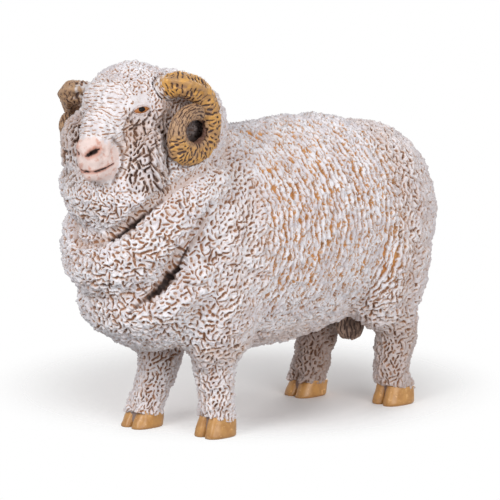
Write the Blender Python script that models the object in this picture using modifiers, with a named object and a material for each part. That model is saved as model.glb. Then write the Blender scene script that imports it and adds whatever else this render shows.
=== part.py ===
"""Toy farm animal figure: a standing merino ram, moulded in vinyl as separate castings that are glued together.

The ram faces -Y, its own left side is +X and it stands on Z = 0.
All shares below are shares of the figure's height unless a comment says otherwise.
"""

import math

import bmesh
import bpy
from mathutils import Matrix, Vector

# Driving sizes, in metres
FIGURE_HEIGHT = 0.085
SEAM_GAP = 0.00034
SKIN_VOXEL = 0.0008
HORN_VOXEL = 0.0006
SMALL_VOXEL = 0.0005

# Shape of the skin made from the blobs
BLOB_DIVISIONS = 4
SKIN_SMOOTHING = 6
HORN_SMOOTHING = 2

# Triangles that the body, the small castings and the crease cutters are brought down to
BODY_TRIANGLES = 5200
HORN_TRIANGLES = 640
EAR_TRIANGLES = 200
TAIL_TRIANGLES = 160
SCROTUM_TRIANGLES = 180
CREASE_TRIANGLES = 500

# Fineness of tubes and pegs
TUBE_ROUNDNESS = 8
TUBE_STEPS = 12
PEG_SIDES = 20

# Room round a rooted piece, in seam gaps
POCKET_EASE = 1.25
# Reach of the seam cutters, and the least height of the head's top
SEAM_REACH_SHARE = 1.4
HEAD_SHARE = 0.9

# Head pose
HEAD_YAW = math.radians(17)
HEAD_ROLL = math.radians(4)
HORN_LEFT_YAW = math.radians(10)
HORN_LEFT_TILT = math.radians(8)
HORN_RIGHT_YAW = math.radians(30)
HORN_RIGHT_TILT = math.radians(10)

# Paint colours of the castings, as linear RGB, with roughness
WOOL_PAINT = ((0.80, 0.77, 0.76), 0.75)
HORN_PAINT = ((0.60, 0.34, 0.09), 0.55)
EAR_PAINT = ((0.66, 0.56, 0.52), 0.7)
LEG_PAINT = ((0.76, 0.72, 0.70), 0.7)
SCROTUM_PAINT = ((0.20, 0.14, 0.11), 0.6)

# Blobs: centre x, y, z, then half-sizes x, y, z
torso_shares = (
    (0, 0.318, 0.490, 0.200, 0.203, 0.238),
    (0, 0.244, 0.492, 0.205, 0.221, 0.246),
    (0, 0.162, 0.487, 0.213, 0.251, 0.274),
    (0, 0.077, 0.482, 0.218, 0.267, 0.287),
    (0, -0.005, 0.479, 0.221, 0.272, 0.290),
    (0, -0.087, 0.479, 0.221, 0.267, 0.290),
    (0, -0.169, 0.487, 0.218, 0.251, 0.282),
    (0, -0.251, 0.505, 0.210, 0.226, 0.269),
    (0, -0.195, 0.569, 0.179, 0.195, 0.215),
    (0.118, 0.303, 0.395, 0.097, 0.138, 0.200),
    (-0.118, 0.262, 0.395, 0.097, 0.138, 0.200),
    (0.118, -0.262, 0.359, 0.092, 0.123, 0.190),
    (-0.118, -0.272, 0.359, 0.092, 0.123, 0.190),
    (0, -0.374, 0.385, 0.174, 0.185, 0.159),
    (0, -0.354, 0.656, 0.174, 0.190, 0.174),
    (0.008, -0.338, 0.800, 0.154, 0.156, 0.149),
    (0, -0.467, 0.662, 0.179, 0.159, 0.133),
    (-0.072, -0.472, 0.744, 0.108, 0.103, 0.095),
    (0.077, -0.385, 0.749, 0.103, 0.113, 0.097),
)
# Rolls of the neck: centre x, y, z, then radius
collar_roll_shares = (
    (0.133, -0.267, 0.682, 0.056),
    (0.126, -0.354, 0.646, 0.072),
    (0.118, -0.436, 0.585, 0.082),
    (0.077, -0.503, 0.508, 0.087),
    (-0.005, -0.528, 0.472, 0.090),
    (-0.082, -0.503, 0.492, 0.087),
    (-0.123, -0.436, 0.569, 0.082),
    (-0.128, -0.344, 0.631, 0.074),
    (-0.133, -0.256, 0.672, 0.059),
)
chest_roll_shares = (
    (0.128, -0.313, 0.472, 0.069),
    (0.118, -0.408, 0.400, 0.077),
    (0.067, -0.469, 0.364, 0.079),
    (-0.010, -0.487, 0.354, 0.077),
    (-0.082, -0.464, 0.359, 0.074),
    (-0.126, -0.403, 0.392, 0.072),
    (-0.133, -0.303, 0.462, 0.069),
)
# Creases between the rolls, pressed into the finished skin: centre x, y, z, then radius
upper_crease_shares = (
    (0.159, -0.287, 0.726, 0.013),
    (0.174, -0.356, 0.721, 0.015),
    (0.174, -0.410, 0.700, 0.018),
    (0.177, -0.467, 0.679, 0.023),
    (0.164, -0.521, 0.644, 0.026),
    (0.126, -0.554, 0.600, 0.026),
    (0.077, -0.574, 0.564, 0.023),
    (0.015, -0.590, 0.538, 0.018),
    (-0.051, -0.587, 0.528, 0.018),
    (-0.113, -0.554, 0.579, 0.021),
    (-0.159, -0.513, 0.641, 0.021),
    (-0.174, -0.462, 0.677, 0.018),
    (-0.169, -0.359, 0.718, 0.015),
    (-0.159, -0.287, 0.726, 0.013),
)
lower_crease_shares = (
    (0.192, -0.336, 0.638, 0.010),
    (0.190, -0.369, 0.592, 0.018),
    (0.179, -0.403, 0.546, 0.023),
    (0.164, -0.433, 0.505, 0.026),
    (0.154, -0.451, 0.456, 0.026),
    (0.146, -0.490, 0.418, 0.023),
    (0.121, -0.526, 0.385, 0.018),
    (0.082, -0.549, 0.359, 0.013),
)
# Legs from the top down: centre x, y, z, then radius
foreleg_left_shares = (
    (0.105, -0.251, 0.385, 0.082),
    (0.105, -0.256, 0.256, 0.069),
    (0.105, -0.262, 0.190, 0.054),
    (0.108, -0.256, 0.108, 0.046),
    (0.108, -0.256, 0.056, 0.046),
)
foreleg_right_shares = (
    (-0.105, -0.236, 0.385, 0.082),
    (-0.105, -0.244, 0.256, 0.069),
    (-0.105, -0.254, 0.179, 0.054),
    (-0.105, -0.285, 0.108, 0.046),
    (-0.105, -0.310, 0.056, 0.046),
)
hindleg_left_shares = (
    (0.113, 0.287, 0.385, 0.108),
    (0.113, 0.328, 0.267, 0.072),
    (0.110, 0.354, 0.190, 0.054),
    (0.110, 0.338, 0.108, 0.046),
    (0.110, 0.336, 0.056, 0.046),
)
hindleg_right_shares = (
    (-0.113, 0.236, 0.385, 0.108),
    (-0.113, 0.272, 0.267, 0.072),
    (-0.113, 0.285, 0.185, 0.054),
    (-0.113, 0.267, 0.108, 0.046),
    (-0.113, 0.249, 0.056, 0.046),
)
# Hooves: place of each on the ground, then one claw's blobs about it
hoof_places_shares = (
    (0.108, -0.262),
    (-0.105, -0.326),
    (0.110, 0.341),
    (-0.113, 0.236),
)
claw_shares = (
    (0.023, -0.003, 0.003, 0.026, 0.046, 0.067),
    (0.023, 0.021, 0.021, 0.023, 0.031, 0.038),
)
dewclaw_shares = (
    (0.023, 0.036, 0.059, 0.015, 0.015, 0.015),
)
# Head, in its own frame: left, back, up from the middle between the horns
head_place_shares = (0.015, -0.464, 0.826)
head_shares = (
    (0, 0.010, 0.044, 0.118, 0.131, 0.113),
    (0, -0.072, 0.067, 0.085, 0.072, 0.069),
    (0, -0.113, 0.005, 0.056, 0.092, 0.069),
    (0, -0.169, -0.041, 0.046, 0.064, 0.054),
    (0, -0.200, -0.038, 0.036, 0.033, 0.033),
    (0, -0.179, -0.090, 0.036, 0.046, 0.028),
    (0, -0.108, -0.069, 0.054, 0.097, 0.062),
    (0.077, -0.051, -0.077, 0.046, 0.072, 0.082),
    (-0.108, -0.062, -0.056, 0.051, 0.069, 0.097),
    (0.059, -0.092, 0.049, 0.023, 0.033, 0.018),
    (-0.059, -0.092, 0.049, 0.023, 0.033, 0.018),
    (0, -0.010, -0.108, 0.123, 0.113, 0.097),
)
# Horn, in its own frame: outwards, back, up from the middle of its coil, then radius
# Place of each horn's coil: outwards, back, up
horn_left_place_shares = (0.144, 0, 0.010)
horn_right_place_shares = (0.154, 0.021, -0.026)
horn_shares = (
    (-0.128, 0.005, 0.021, 0.026),
    (-0.087, 0.005, 0.056, 0.028),
    (-0.036, 0.003, 0.087, 0.031),
    (0.010, 0.008, 0.100, 0.032),
    (0.018, 0.069, 0.064, 0.032),
    (0.026, 0.095, 0.003, 0.031),
    (0.031, 0.082, -0.056, 0.031),
    (0.033, 0.026, -0.077, 0.032),
    (0.036, -0.028, -0.059, 0.032),
    (0.038, -0.038, -0.008, 0.031),
    (0.038, -0.021, 0.023, 0.027),
    (0.036, 0.023, 0.031, 0.021),
    (0.031, 0.067, 0.010, 0.014),
)
# Ear, in the head's frame: blobs as above
ear_shares = (
    (0.085, -0.056, -0.005, 0.031, 0.023, 0.021),
    (0.110, -0.069, -0.036, 0.023, 0.036, 0.036),
    (0.115, -0.072, -0.082, 0.021, 0.038, 0.051),
    (0.113, -0.069, -0.128, 0.018, 0.028, 0.033),
)
tail_shares = (
    (0, 0.436, 0.610, 0.033),
    (0, 0.479, 0.574, 0.036),
    (0, 0.497, 0.513, 0.036),
    (0, 0.500, 0.462, 0.031),
    (0, 0.495, 0.431, 0.023),
)
scrotum_shares = (
    (0, 0.285, 0.267, 0.028),
    (0, 0.290, 0.231, 0.036),
    (0, 0.292, 0.190, 0.038),
    (0, 0.292, 0.159, 0.026),
)
# Seams between castings, as lines of back and up that run straight through from side to side
head_seam_shares = (
    (-0.769, 0.462),
    (-0.641, 0.518),
    (-0.585, 0.562),
    (-0.526, 0.618),
    (-0.441, 0.679),
    (-0.338, 0.718),
    (-0.231, 0.723),
    (-0.185, 0.736),
    (-0.156, 0.762),
    (-0.141, 0.805),
    (-0.136, 0.897),
)
collar_seam_shares = (
    (-0.769, 0.338),
    (-0.603, 0.374),
    (-0.544, 0.405),
    (-0.462, 0.487),
    (-0.379, 0.574),
    (-0.328, 0.621),
    (-0.292, 0.662),
    (-0.292, 0.721),
)
leg_seam_share = 0.190
leg_seam_reach_shares = (0.107, 0.179)
# Neck peg: centre left and back, bottom, top, radius
neck_peg_shares = (0, -0.385, 0.513, 0.800, 0.062)
leg_peg_radius_share = 0.021
leg_peg_depth_share = 0.056
leg_paths = {
    "foreleg_left": foreleg_left_shares,
    "foreleg_right": foreleg_right_shares,
    "hindleg_left": hindleg_left_shares,
    "hindleg_right": hindleg_right_shares,
}
paints = {
    "torso": WOOL_PAINT,
    "neck_fold_collar": WOOL_PAINT,
    "head": WOOL_PAINT,
    "horn_left": HORN_PAINT,
    "horn_right": HORN_PAINT,
    "ear_left": EAR_PAINT,
    "ear_right": EAR_PAINT,
    "foreleg_left": LEG_PAINT,
    "foreleg_right": LEG_PAINT,
    "hindleg_left": LEG_PAINT,
    "hindleg_right": LEG_PAINT,
    "tail": WOOL_PAINT,
    "scrotum": SCROTUM_PAINT,
}


def clear_scene():
    """Remove whatever the scene starts with."""
    for obj in list(bpy.data.objects):
        bpy.data.objects.remove(obj, do_unlink=True)


def share_point(values):
    """A place given as shares of the figure's height, as a vector in metres."""
    return Vector(values[:3]) * FIGURE_HEIGHT


def new_object(name, mesh, collection):
    obj = bpy.data.objects.new(name, mesh)
    collection.objects.link(obj)
    return obj


def mesh_from(bm, name):
    mesh = bpy.data.meshes.new(name)
    bm.to_mesh(mesh)
    bm.free()
    return mesh


def add_blobs(bm, blobs, frame):
    """Add one ellipsoid for each row of centre and half-sizes."""
    for row in blobs:
        place = Matrix.Translation(share_point(row))
        size = Matrix.Diagonal((*(share_point(row[3:])), 1))
        bmesh.ops.create_icosphere(bm, subdivisions=BLOB_DIVISIONS, radius=1, matrix=frame @ place @ size)


def add_tube(bm, path, frame):
    """Add one round, tapering tube with filled ends along a path of centre and radius."""
    curve = bpy.data.curves.new("path", "CURVE")
    curve.dimensions = "3D"
    curve.bevel_depth = FIGURE_HEIGHT
    curve.bevel_resolution = TUBE_ROUNDNESS
    curve.resolution_u = TUBE_STEPS
    curve.use_fill_caps = True
    spline = curve.splines.new("BEZIER")
    spline.bezier_points.add(len(path) - 1)
    for point, row in zip(spline.bezier_points, path):
        point.co = share_point(row)
        point.radius = row[3]
        point.handle_left_type = "AUTO"
        point.handle_right_type = "AUTO"
    obj = new_object("path", curve, bpy.context.scene.collection)
    mesh = bpy.data.meshes.new_from_object(obj)
    mesh.transform(frame)
    bm.from_mesh(mesh)
    bpy.data.objects.remove(obj, do_unlink=True)


def mirrored(rows):
    """The same rows on the other side of the ram."""
    return tuple((-row[0], *row[1:]) for row in rows)


def bake(obj):
    """Turn an object's modifiers into its mesh."""
    depsgraph = bpy.context.evaluated_depsgraph_get()
    mesh = bpy.data.meshes.new_from_object(obj.evaluated_get(depsgraph))
    obj.modifiers.clear()
    obj.data = mesh


def fuse(obj, voxel, smoothing):
    """Fuse overlapping closed shapes into one smooth skin."""
    remesh = obj.modifiers.new("fuse", "REMESH")
    remesh.mode = "VOXEL"
    remesh.voxel_size = voxel
    smooth = obj.modifiers.new("smooth", "SMOOTH")
    smooth.iterations = round(smoothing)
    bake(obj)


def thin_out(obj, triangles):
    """Bring a skin down to a number of triangles."""
    obj.modifiers.new("triangles", "TRIANGULATE")
    bake(obj)
    decimate = obj.modifiers.new("thin_out", "DECIMATE")
    decimate.ratio = min(1.0, triangles / len(obj.data.polygons))
    bake(obj)


def combine(obj, other, operation):
    """Cut or join one closed shape with another, which is then removed."""
    boolean = obj.modifiers.new(operation, "BOOLEAN")
    boolean.solver = "EXACT"
    boolean.operation = operation
    boolean.object = other
    bake(obj)
    bpy.data.objects.remove(other, do_unlink=True)


def islands(obj):
    """Split a mesh into its separate closed shapes, largest first."""
    bm = bmesh.new()
    bm.from_mesh(obj.data)
    bm.verts.ensure_lookup_table()
    unseen = set(bm.verts)
    groups = []
    while unseen:
        front = [unseen.pop()]
        group = set(front)
        while front:
            vert = front.pop()
            for edge in vert.link_edges:
                other = edge.other_vert(vert)
                if other in unseen:
                    unseen.discard(other)
                    group.add(other)
                    front.append(other)
        groups.append({vert.index for vert in group})
    bm.free()
    meshes = []
    for group in sorted(groups, key=len, reverse=True):
        piece = bmesh.new()
        piece.from_mesh(obj.data)
        piece.verts.ensure_lookup_table()
        outside = [vert for vert in piece.verts if vert.index not in group]
        bmesh.ops.delete(piece, geom=outside, context="VERTS")
        meshes.append(mesh_from(piece, obj.name))
    return meshes


def keep_largest(obj):
    obj.data = islands(obj)[0]


def box(low, high):
    """A closed block between two corners."""
    bm = bmesh.new()
    size = Matrix.Diagonal((*(high - low), 1))
    bmesh.ops.create_cube(bm, size=1, matrix=Matrix.Translation((low + high) / 2) @ size)
    return new_object("block", mesh_from(bm, "block"), bpy.context.scene.collection)


def peg(centre, radius, length):
    """A round peg that stands on its centre and points up."""
    bm = bmesh.new()
    middle = centre + Vector((0, 0, length / 2))
    bmesh.ops.create_cone(
        bm,
        cap_ends=True,
        segments=PEG_SIDES,
        radius1=radius,
        radius2=radius,
        depth=length,
        matrix=Matrix.Translation(middle),
    )
    return new_object("peg", mesh_from(bm, "peg"), bpy.context.scene.collection)


def seam_sheet(line):
    """A thin closed sheet along a line of back and up, right through the figure from side to side."""
    half_width = SEAM_REACH_SHARE * FIGURE_HEIGHT
    bm = bmesh.new()
    rows = []
    for back, up in line:
        corners = [Vector((side * half_width, back * FIGURE_HEIGHT, up * FIGURE_HEIGHT)) for side in (-1, 1)]
        rows.append([bm.verts.new(corner) for corner in corners])
    for first, second in zip(rows, rows[1:]):
        bm.faces.new((first[0], first[1], second[1], second[0]))
    obj = new_object("seam", mesh_from(bm, "seam"), bpy.context.scene.collection)
    solidify = obj.modifiers.new("gap", "SOLIDIFY")
    solidify.thickness = SEAM_GAP
    solidify.offset = 0
    solidify.use_even_offset = True
    bake(obj)
    return obj


def pocket_cutter(piece):
    """A slightly larger copy of a piece, to cut the pocket its root is glued into."""
    cutter = new_object("pocket", piece.data.copy(), bpy.context.scene.collection)
    fuse(cutter, SMALL_VOXEL, 1)
    grow = cutter.modifiers.new("gap", "DISPLACE")
    grow.strength = SEAM_GAP * POCKET_EASE
    grow.mid_level = 0
    bake(cutter)
    thin_out(cutter, len(piece.data.polygons))
    return cutter


def paint(obj, colour, roughness):
    """Give a casting its own material."""
    material = bpy.data.materials.new(obj.name + "_paint")
    material.use_nodes = True
    shader = material.node_tree.nodes["Principled BSDF"]
    shader.inputs["Base Color"].default_value = (*colour, 1)
    shader.inputs["Roughness"].default_value = roughness
    obj.data.materials.clear()
    obj.data.materials.append(material)


def head_frame():
    """The head's place and turn: its own X is the ram's left, -Y the way the nose points."""
    turn = Matrix.Rotation(HEAD_YAW, 4, "Z") @ Matrix.Rotation(-HEAD_ROLL, 4, "Y")
    return Matrix.Translation(share_point(head_place_shares)) @ turn


def horn_frame(side):
    """The left horn's frame, or the right one's, which is built as its mirror image."""
    mirror = Matrix.Diagonal((side, 1, 1, 1))
    shares = horn_left_place_shares if side == 1 else horn_right_place_shares
    yaw = HORN_LEFT_YAW if side == 1 else HORN_RIGHT_YAW
    tilt = HORN_LEFT_TILT if side == 1 else HORN_RIGHT_TILT
    turn = Matrix.Rotation(-yaw, 4, "Z") @ Matrix.Rotation(tilt, 4, "Y")
    return head_frame() @ mirror @ Matrix.Translation(share_point(shares)) @ turn


def make_body():
    """The whole woolly skin of head, neck, torso and legs, before its seams are cut."""
    bm = bmesh.new()
    upright = Matrix.Identity(4)
    add_blobs(bm, torso_shares, upright)
    add_blobs(bm, head_shares, head_frame())
    for path in (collar_roll_shares, chest_roll_shares, *leg_paths.values()):
        add_tube(bm, path, upright)
    for left, back in hoof_places_shares:
        place = Matrix.Translation(share_point((left, back, 0)))
        for claws in (claw_shares, mirrored(claw_shares), dewclaw_shares, mirrored(dewclaw_shares)):
            add_blobs(bm, claws, place)
    body = new_object("body", mesh_from(bm, "body"), bpy.context.scene.collection)
    fuse(body, SKIN_VOXEL, SKIN_SMOOTHING)
    thin_out(body, BODY_TRIANGLES)
    reach = SEAM_REACH_SHARE * FIGURE_HEIGHT
    ground = box(Vector((-reach, -reach, -reach)), Vector((reach, reach, 0)))
    combine(body, ground, "DIFFERENCE")
    return body


def cut_seams(body, collection):
    """Cut the body at its seams and name the castings by where they are."""
    combine(body, seam_sheet(head_seam_shares), "DIFFERENCE")
    combine(body, seam_sheet(collar_seam_shares), "DIFFERENCE")
    height = leg_seam_share * FIGURE_HEIGHT
    half = Vector((*(share * FIGURE_HEIGHT for share in leg_seam_reach_shares), SEAM_GAP / 2))
    for path in leg_paths.values():
        middle = share_point(path[2])
        middle.z = height
        combine(body, box(middle - half, middle + half), "DIFFERENCE")
    pieces = {}
    meshes = islands(body)
    bpy.data.objects.remove(body, do_unlink=True)
    feet = {name: share_point(path[-1]) for name, path in leg_paths.items()}
    for mesh in meshes[: len(feet) + 3]:
        top = max(vertex.co.z for vertex in mesh.vertices)
        bottom = min(vertex.co.z for vertex in mesh.vertices)
        middle = sum((vertex.co for vertex in mesh.vertices), Vector()) / len(mesh.vertices)
        if top < height:
            name = min(feet, key=lambda leg: (feet[leg].xy - middle.xy).length)
        elif bottom < height * 2 and "torso" not in pieces:
            name = "torso"
        elif top > HEAD_SHARE * FIGURE_HEIGHT:
            name = "head"
        else:
            name = "neck_fold_collar"
        pieces[name] = new_object(name, mesh, collection)
    return pieces


def press_creases(pieces, collection):
    """Press a rounded crease along each path into the castings that meet there."""
    for path in (upper_crease_shares, lower_crease_shares, mirrored(lower_crease_shares)):
        for name in ("head", "neck_fold_collar", "torso"):
            crease = make_rooted(
                "crease", (path,), (), Matrix.Identity(4), SKIN_VOXEL, CREASE_TRIANGLES, collection
            )
            combine(pieces[name], crease, "DIFFERENCE")


def add_pegs(pieces):
    """Join each leg and the head to the torso with a peg in a hole."""
    left, back, bottom, top, radius = (share * FIGURE_HEIGHT for share in neck_peg_shares)
    foot = Vector((left, back, bottom))
    combine(pieces["torso"], peg(foot, radius, top - bottom), "UNION")
    for name in ("neck_fold_collar", "head"):
        hole = peg(foot - Vector((0, 0, radius)), radius + SEAM_GAP, top - bottom + radius + SEAM_GAP)
        combine(pieces[name], hole, "DIFFERENCE")
    radius = leg_peg_radius_share * FIGURE_HEIGHT
    depth = leg_peg_depth_share * FIGURE_HEIGHT
    for name, path in leg_paths.items():
        seat = share_point(path[2])
        seat.z = leg_seam_share * FIGURE_HEIGHT - radius
        combine(pieces[name], peg(seat, radius, depth + radius), "UNION")
        hole = peg(seat + Vector((0, 0, radius / 2)), radius + SEAM_GAP, depth + radius / 2 + SEAM_GAP)
        combine(pieces["torso"], hole, "DIFFERENCE")


def make_rooted(name, paths, blobs, frame, voxel, triangles, collection):
    """A small casting made of tubes and blobs, whose root is glued into a pocket."""
    bm = bmesh.new()
    for path in paths:
        add_tube(bm, path, frame)
    add_blobs(bm, blobs, frame)
    bmesh.ops.recalc_face_normals(bm, faces=bm.faces)
    obj = new_object(name, mesh_from(bm, name), collection)
    fuse(obj, voxel, HORN_SMOOTHING)
    thin_out(obj, triangles)
    return obj


def add_rooted(pieces, collection):
    """Add horns, ears, tail and scrotum, and cut their pockets."""
    upright = Matrix.Identity(4)
    for side, word in ((1, "left"), (-1, "right")):
        rows = ear_shares if side == 1 else mirrored(ear_shares)
        ear = make_rooted("ear_" + word, (), rows, head_frame(), SMALL_VOXEL, EAR_TRIANGLES, collection)
        horn = make_rooted(
            "horn_" + word, (horn_shares,), (), horn_frame(side), HORN_VOXEL, HORN_TRIANGLES, collection
        )
        combine(pieces["head"], pocket_cutter(ear), "DIFFERENCE")
        for neighbour in (pieces["head"], pieces["neck_fold_collar"], ear):
            combine(neighbour, pocket_cutter(horn), "DIFFERENCE")
        keep_largest(ear)
        pieces[horn.name] = horn
        pieces[ear.name] = ear
    tail = make_rooted("tail", (tail_shares,), (), upright, SMALL_VOXEL, TAIL_TRIANGLES, collection)
    scrotum = make_rooted("scrotum", (scrotum_shares,), (), upright, SMALL_VOXEL, SCROTUM_TRIANGLES, collection)
    for piece in (tail, scrotum):
        combine(pieces["torso"], pocket_cutter(piece), "DIFFERENCE")
        pieces[piece.name] = piece
    for name in ("head", "torso", "neck_fold_collar"):
        keep_largest(pieces[name])


def centre_on_box(pieces):
    """Move all the castings so that the origin is at the bottom centre of the figure's box."""
    points = [vertex.co for piece in pieces.values() for vertex in piece.data.vertices]
    low = Vector(tuple(min(point[axis] for point in points) for axis in range(3)))
    high = Vector(tuple(max(point[axis] for point in points) for axis in range(3)))
    shift = Vector((-(low.x + high.x) / 2, -(low.y + high.y) / 2, -low.z))
    for piece in pieces.values():
        piece.data.transform(Matrix.Translation(shift))
        piece.data.update()


def main():
    clear_scene()
    collection = bpy.data.collections.new("merino_ram_figure")
    bpy.context.scene.collection.children.link(collection)
    pieces = cut_seams(make_body(), collection)
    press_creases(pieces, collection)
    add_pegs(pieces)
    add_rooted(pieces, collection)
    centre_on_box(pieces)
    for name, piece in pieces.items():
        piece.data.name = name
        colour, roughness = paints[name]
        paint(piece, colour, roughness)


main()
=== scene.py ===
"""Looks of the toy farm animal figure: a standing merino ram in moulded, hand-painted vinyl.

The wool is one skin, fused from the castings and cut by seeded strokes, and it is then parted again, so
that each casting keeps its own piece. The ram faces -Y, its own left side is +X and it stands on Z = 0.
Pixels are places in the photograph, and a ray from there finds their point on the skin. Shares are places
on the object, left, back and up from the middle between the feet, and head places the same from the middle
of the head. Both are in lengths that look one pixel long.
"""

import math
from contextlib import contextmanager

import bmesh
import bpy
import numpy as np
from mathutils import Matrix, Vector, kdtree
from mathutils.bvhtree import BVHTree


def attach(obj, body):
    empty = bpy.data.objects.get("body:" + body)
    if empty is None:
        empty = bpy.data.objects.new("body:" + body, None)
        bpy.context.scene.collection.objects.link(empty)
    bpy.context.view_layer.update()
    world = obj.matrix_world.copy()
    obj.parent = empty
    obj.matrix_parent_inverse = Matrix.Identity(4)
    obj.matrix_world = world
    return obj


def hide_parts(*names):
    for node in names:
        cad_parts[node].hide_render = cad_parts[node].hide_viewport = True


MM = 0.001
FULL_TURN = 2 * math.pi
SEED = 41

# The photograph: its side in pixels, one pixel's size on the object, and the middle between the feet
PHOTO_SIDE = 500
PIXEL = 0.217949 * MM
FEET_PIXEL = (264.1, 414.4)
FEET = Vector((1.285 * MM, 6.502 * MM, 0))
AZIMUTH = math.radians(49)
ELEVATION = math.radians(12)
CAMERA_DISTANCE = 5.0
CAMERA_RANGE = (0.1, 20.0)
SENSOR = 36

# Head and horn frames, as the castings have them
HEAD_PLACE = (6, -181, 322)
HEAD_YAW = math.radians(17)
HEAD_ROLL = math.radians(4)
HORN_PLACES = {1: (56, 0, 4), -1: (60, 8, -10)}
HORN_YAWS = {1: math.radians(10), -1: math.radians(30)}
HORN_TILTS = {1: math.radians(8), -1: math.radians(10)}

# The fused skins: how far gaps are closed, how fine they are and how often they are smoothed
CLOSING = 0.35 * MM
SKIN_VOXEL = 0.36 * MM
SCROTUM_VOXEL = 0.16 * MM
FUSED_RELAXING = 20
HOLLOW_RELAXING = 80
DIVIDED_RELAXING = 2
WELD = 0.001 * MM

SIDES = {1: "left", -1: "right"}
# The woolly castings with their slots
WOOL_SLOTS = {
    "torso": "fleece",
    "neck_fold_collar": "fleece",
    "head": "fleece",
    "foreleg_left": "leg",
    "foreleg_right": "leg",
    "hindleg_left": "leg",
    "hindleg_right": "leg",
    "tail": "fleece",
    "ear_left": "ear",
    "ear_right": "ear",
}
HOOF_PLACES = {
    "foreleg_left": (42, -102),
    "foreleg_right": (-41, -127),
    "hindleg_left": (43, 133),
    "hindleg_right": (-44, 92),
}

# Smooth random fields: how strong they are, the size of their lumps, and what sets each one apart
RIPPLE_WAVES = 14
RIPPLE_SPREAD = (0.7, 1.3)
RIPPLES = {
    "row drift": (0.34, 5.5 * MM, 10),
    "row waver": (0.2, 2.0 * MM, 11),
    "row opening": (0.5, 2.6 * MM, 12),
    "row pinholes": (0.3, 0.8 * MM, 13),
    "muzzle fray": (5, 1.3 * MM, 14),
    "ragged": (0.4, 1.1 * MM, 6),
    "wool lumps": (0.24 * MM, 4.2 * MM, 2),
    "wool knots": (1, 1.7 * MM, 3),
    "wool grain": (0.09 * MM, 0.8 * MM, 8),
    "lobes": (1, 5 * MM, 7),
    "patches": (0.5, 9 * MM, 4),
    "hoof fray": (1.3, 1.4 * MM, 5),
    "hoof lumps": (0.07 * MM, 2.2 * MM, 30),
    "horn rings": (0.5, 2.5 * MM, 20),
    "horn lumps": (0.14 * MM, 3 * MM, 21),
    "horn grain": (0.06 * MM, 1.1 * MM, 23),
    "horn root": (0.03, 1.2 * MM, 24),
    "horn hole": (0.1, 1.5 * MM, 25),
    "scrotum lumps": (0.2 * MM, 3 * MM, 22),
}

# Soft edges of masks: where each one starts and where it is full
EDGES = {
    "row valley": (-0.35, 0.5),
    "worn band": (1.25, 0.75),
    "slit": (1.35, 0.75),
    # The reddish painted shade round the slits fades over this
    "shade_round_slits": (3.4, 1.0),
    "eye socket": (1.25, 0.8),
    "bare round eye": (1.1, 0.85),
    "hole in wool": (1.3, 0.9),
    "hole in horn": (1.15, 0.85),
    "hole rim": (1.7, 1.2),
    "hole slant": (0.5, -0.5),
    "unstroked": (0.2, 0.7),
    # Hollows, darkened by grime and painted shade
    "grimy shaded hollow": (0.05 * MM, 0.5 * MM),
    "creased hollow": (0.5 * MM, 1.2 * MM),
    "hoof slope": (-14, 12),
    "hoof sole": (6, 0),
    "keel start": (0.16, 0.2),
    "keel end": (0.4, 0.32),
    "horn rounded": (0.13, 0.3),
    "inner coil": (0.66, 0.8),
    "inner side": (0.3, -0.3),
    "far horn's start": (0.62, 0.5),
    "pupil": (1.2, 0.8),
    "eye rim": (0.6, 1.0),
}

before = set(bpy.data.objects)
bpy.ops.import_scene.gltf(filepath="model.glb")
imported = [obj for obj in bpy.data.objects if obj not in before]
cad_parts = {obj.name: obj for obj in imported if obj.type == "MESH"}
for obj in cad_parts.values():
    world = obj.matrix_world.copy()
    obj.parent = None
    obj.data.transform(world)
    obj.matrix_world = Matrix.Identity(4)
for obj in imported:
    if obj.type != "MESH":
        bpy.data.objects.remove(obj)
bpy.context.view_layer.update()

RIGHT = Vector((math.cos(AZIMUTH), math.sin(AZIMUTH), 0))
UP = Vector(
    (-math.sin(AZIMUTH) * math.sin(ELEVATION), math.cos(AZIMUTH) * math.sin(ELEVATION), math.cos(ELEVATION))
)
TO_CAMERA = RIGHT.cross(UP)


def at(place):
    """The point at a place in shares."""
    return FEET + Vector(place) * PIXEL


def pixel_point(pixel):
    """The point behind a pixel of the photograph, in the plane through the feet."""
    return FEET + RIGHT * (pixel[0] - FEET_PIXEL[0]) * PIXEL + UP * (FEET_PIXEL[1] - pixel[1]) * PIXEL


def camera_point():
    """The camera's place."""
    return pixel_point((PHOTO_SIDE / 2, PHOTO_SIDE / 2)) + TO_CAMERA * CAMERA_DISTANCE


def head_frame():
    """The head's frame: X is its left and -Y the way the nose points."""
    turn = Matrix.Rotation(HEAD_YAW, 4, "Z") @ Matrix.Rotation(-HEAD_ROLL, 4, "Y")
    return Matrix.Translation(at(HEAD_PLACE)) @ turn


def head_mirror(side):
    """The mirror image in the head's middle for the right side, no change for the left one."""
    return head_frame() @ Matrix.Diagonal((side, 1, 1, 1)) @ head_frame().inverted()


def horn_frame(side):
    """The frame of one horn's coil. The right one is a mirror image."""
    mirror = Matrix.Diagonal((side, 1, 1, 1))
    place = Matrix.Translation(Vector(HORN_PLACES[side]) * PIXEL)
    turn = Matrix.Rotation(-HORN_YAWS[side], 4, "Z") @ Matrix.Rotation(HORN_TILTS[side], 4, "Y")
    return head_frame() @ mirror @ place @ turn


def moved(matrix, places):
    """Rows of places moved by a matrix."""
    turn = np.array(matrix)
    return places @ turn[:3, :3].T + turn[:3, 3]


def seen_from(matrix, places):
    """Places in the axes of a frame, in pixels."""
    return moved(matrix.inverted(), places) / PIXEL


def step(low, high, values):
    """A smooth step from 0 at low to 1 at high."""
    share = np.clip((np.asarray(values, float) - low) / (high - low), 0, 1)
    return share * share * (3 - 2 * share)


def edge(name, values):
    """A mask by its soft edge."""
    return step(*EDGES[name], values)


def bump(values):
    """A bell that is 1 at zero."""
    return np.exp(-(values**2))


def blend(low, high, share):
    """A value between two by a share."""
    return low + (high - low) * share


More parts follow.
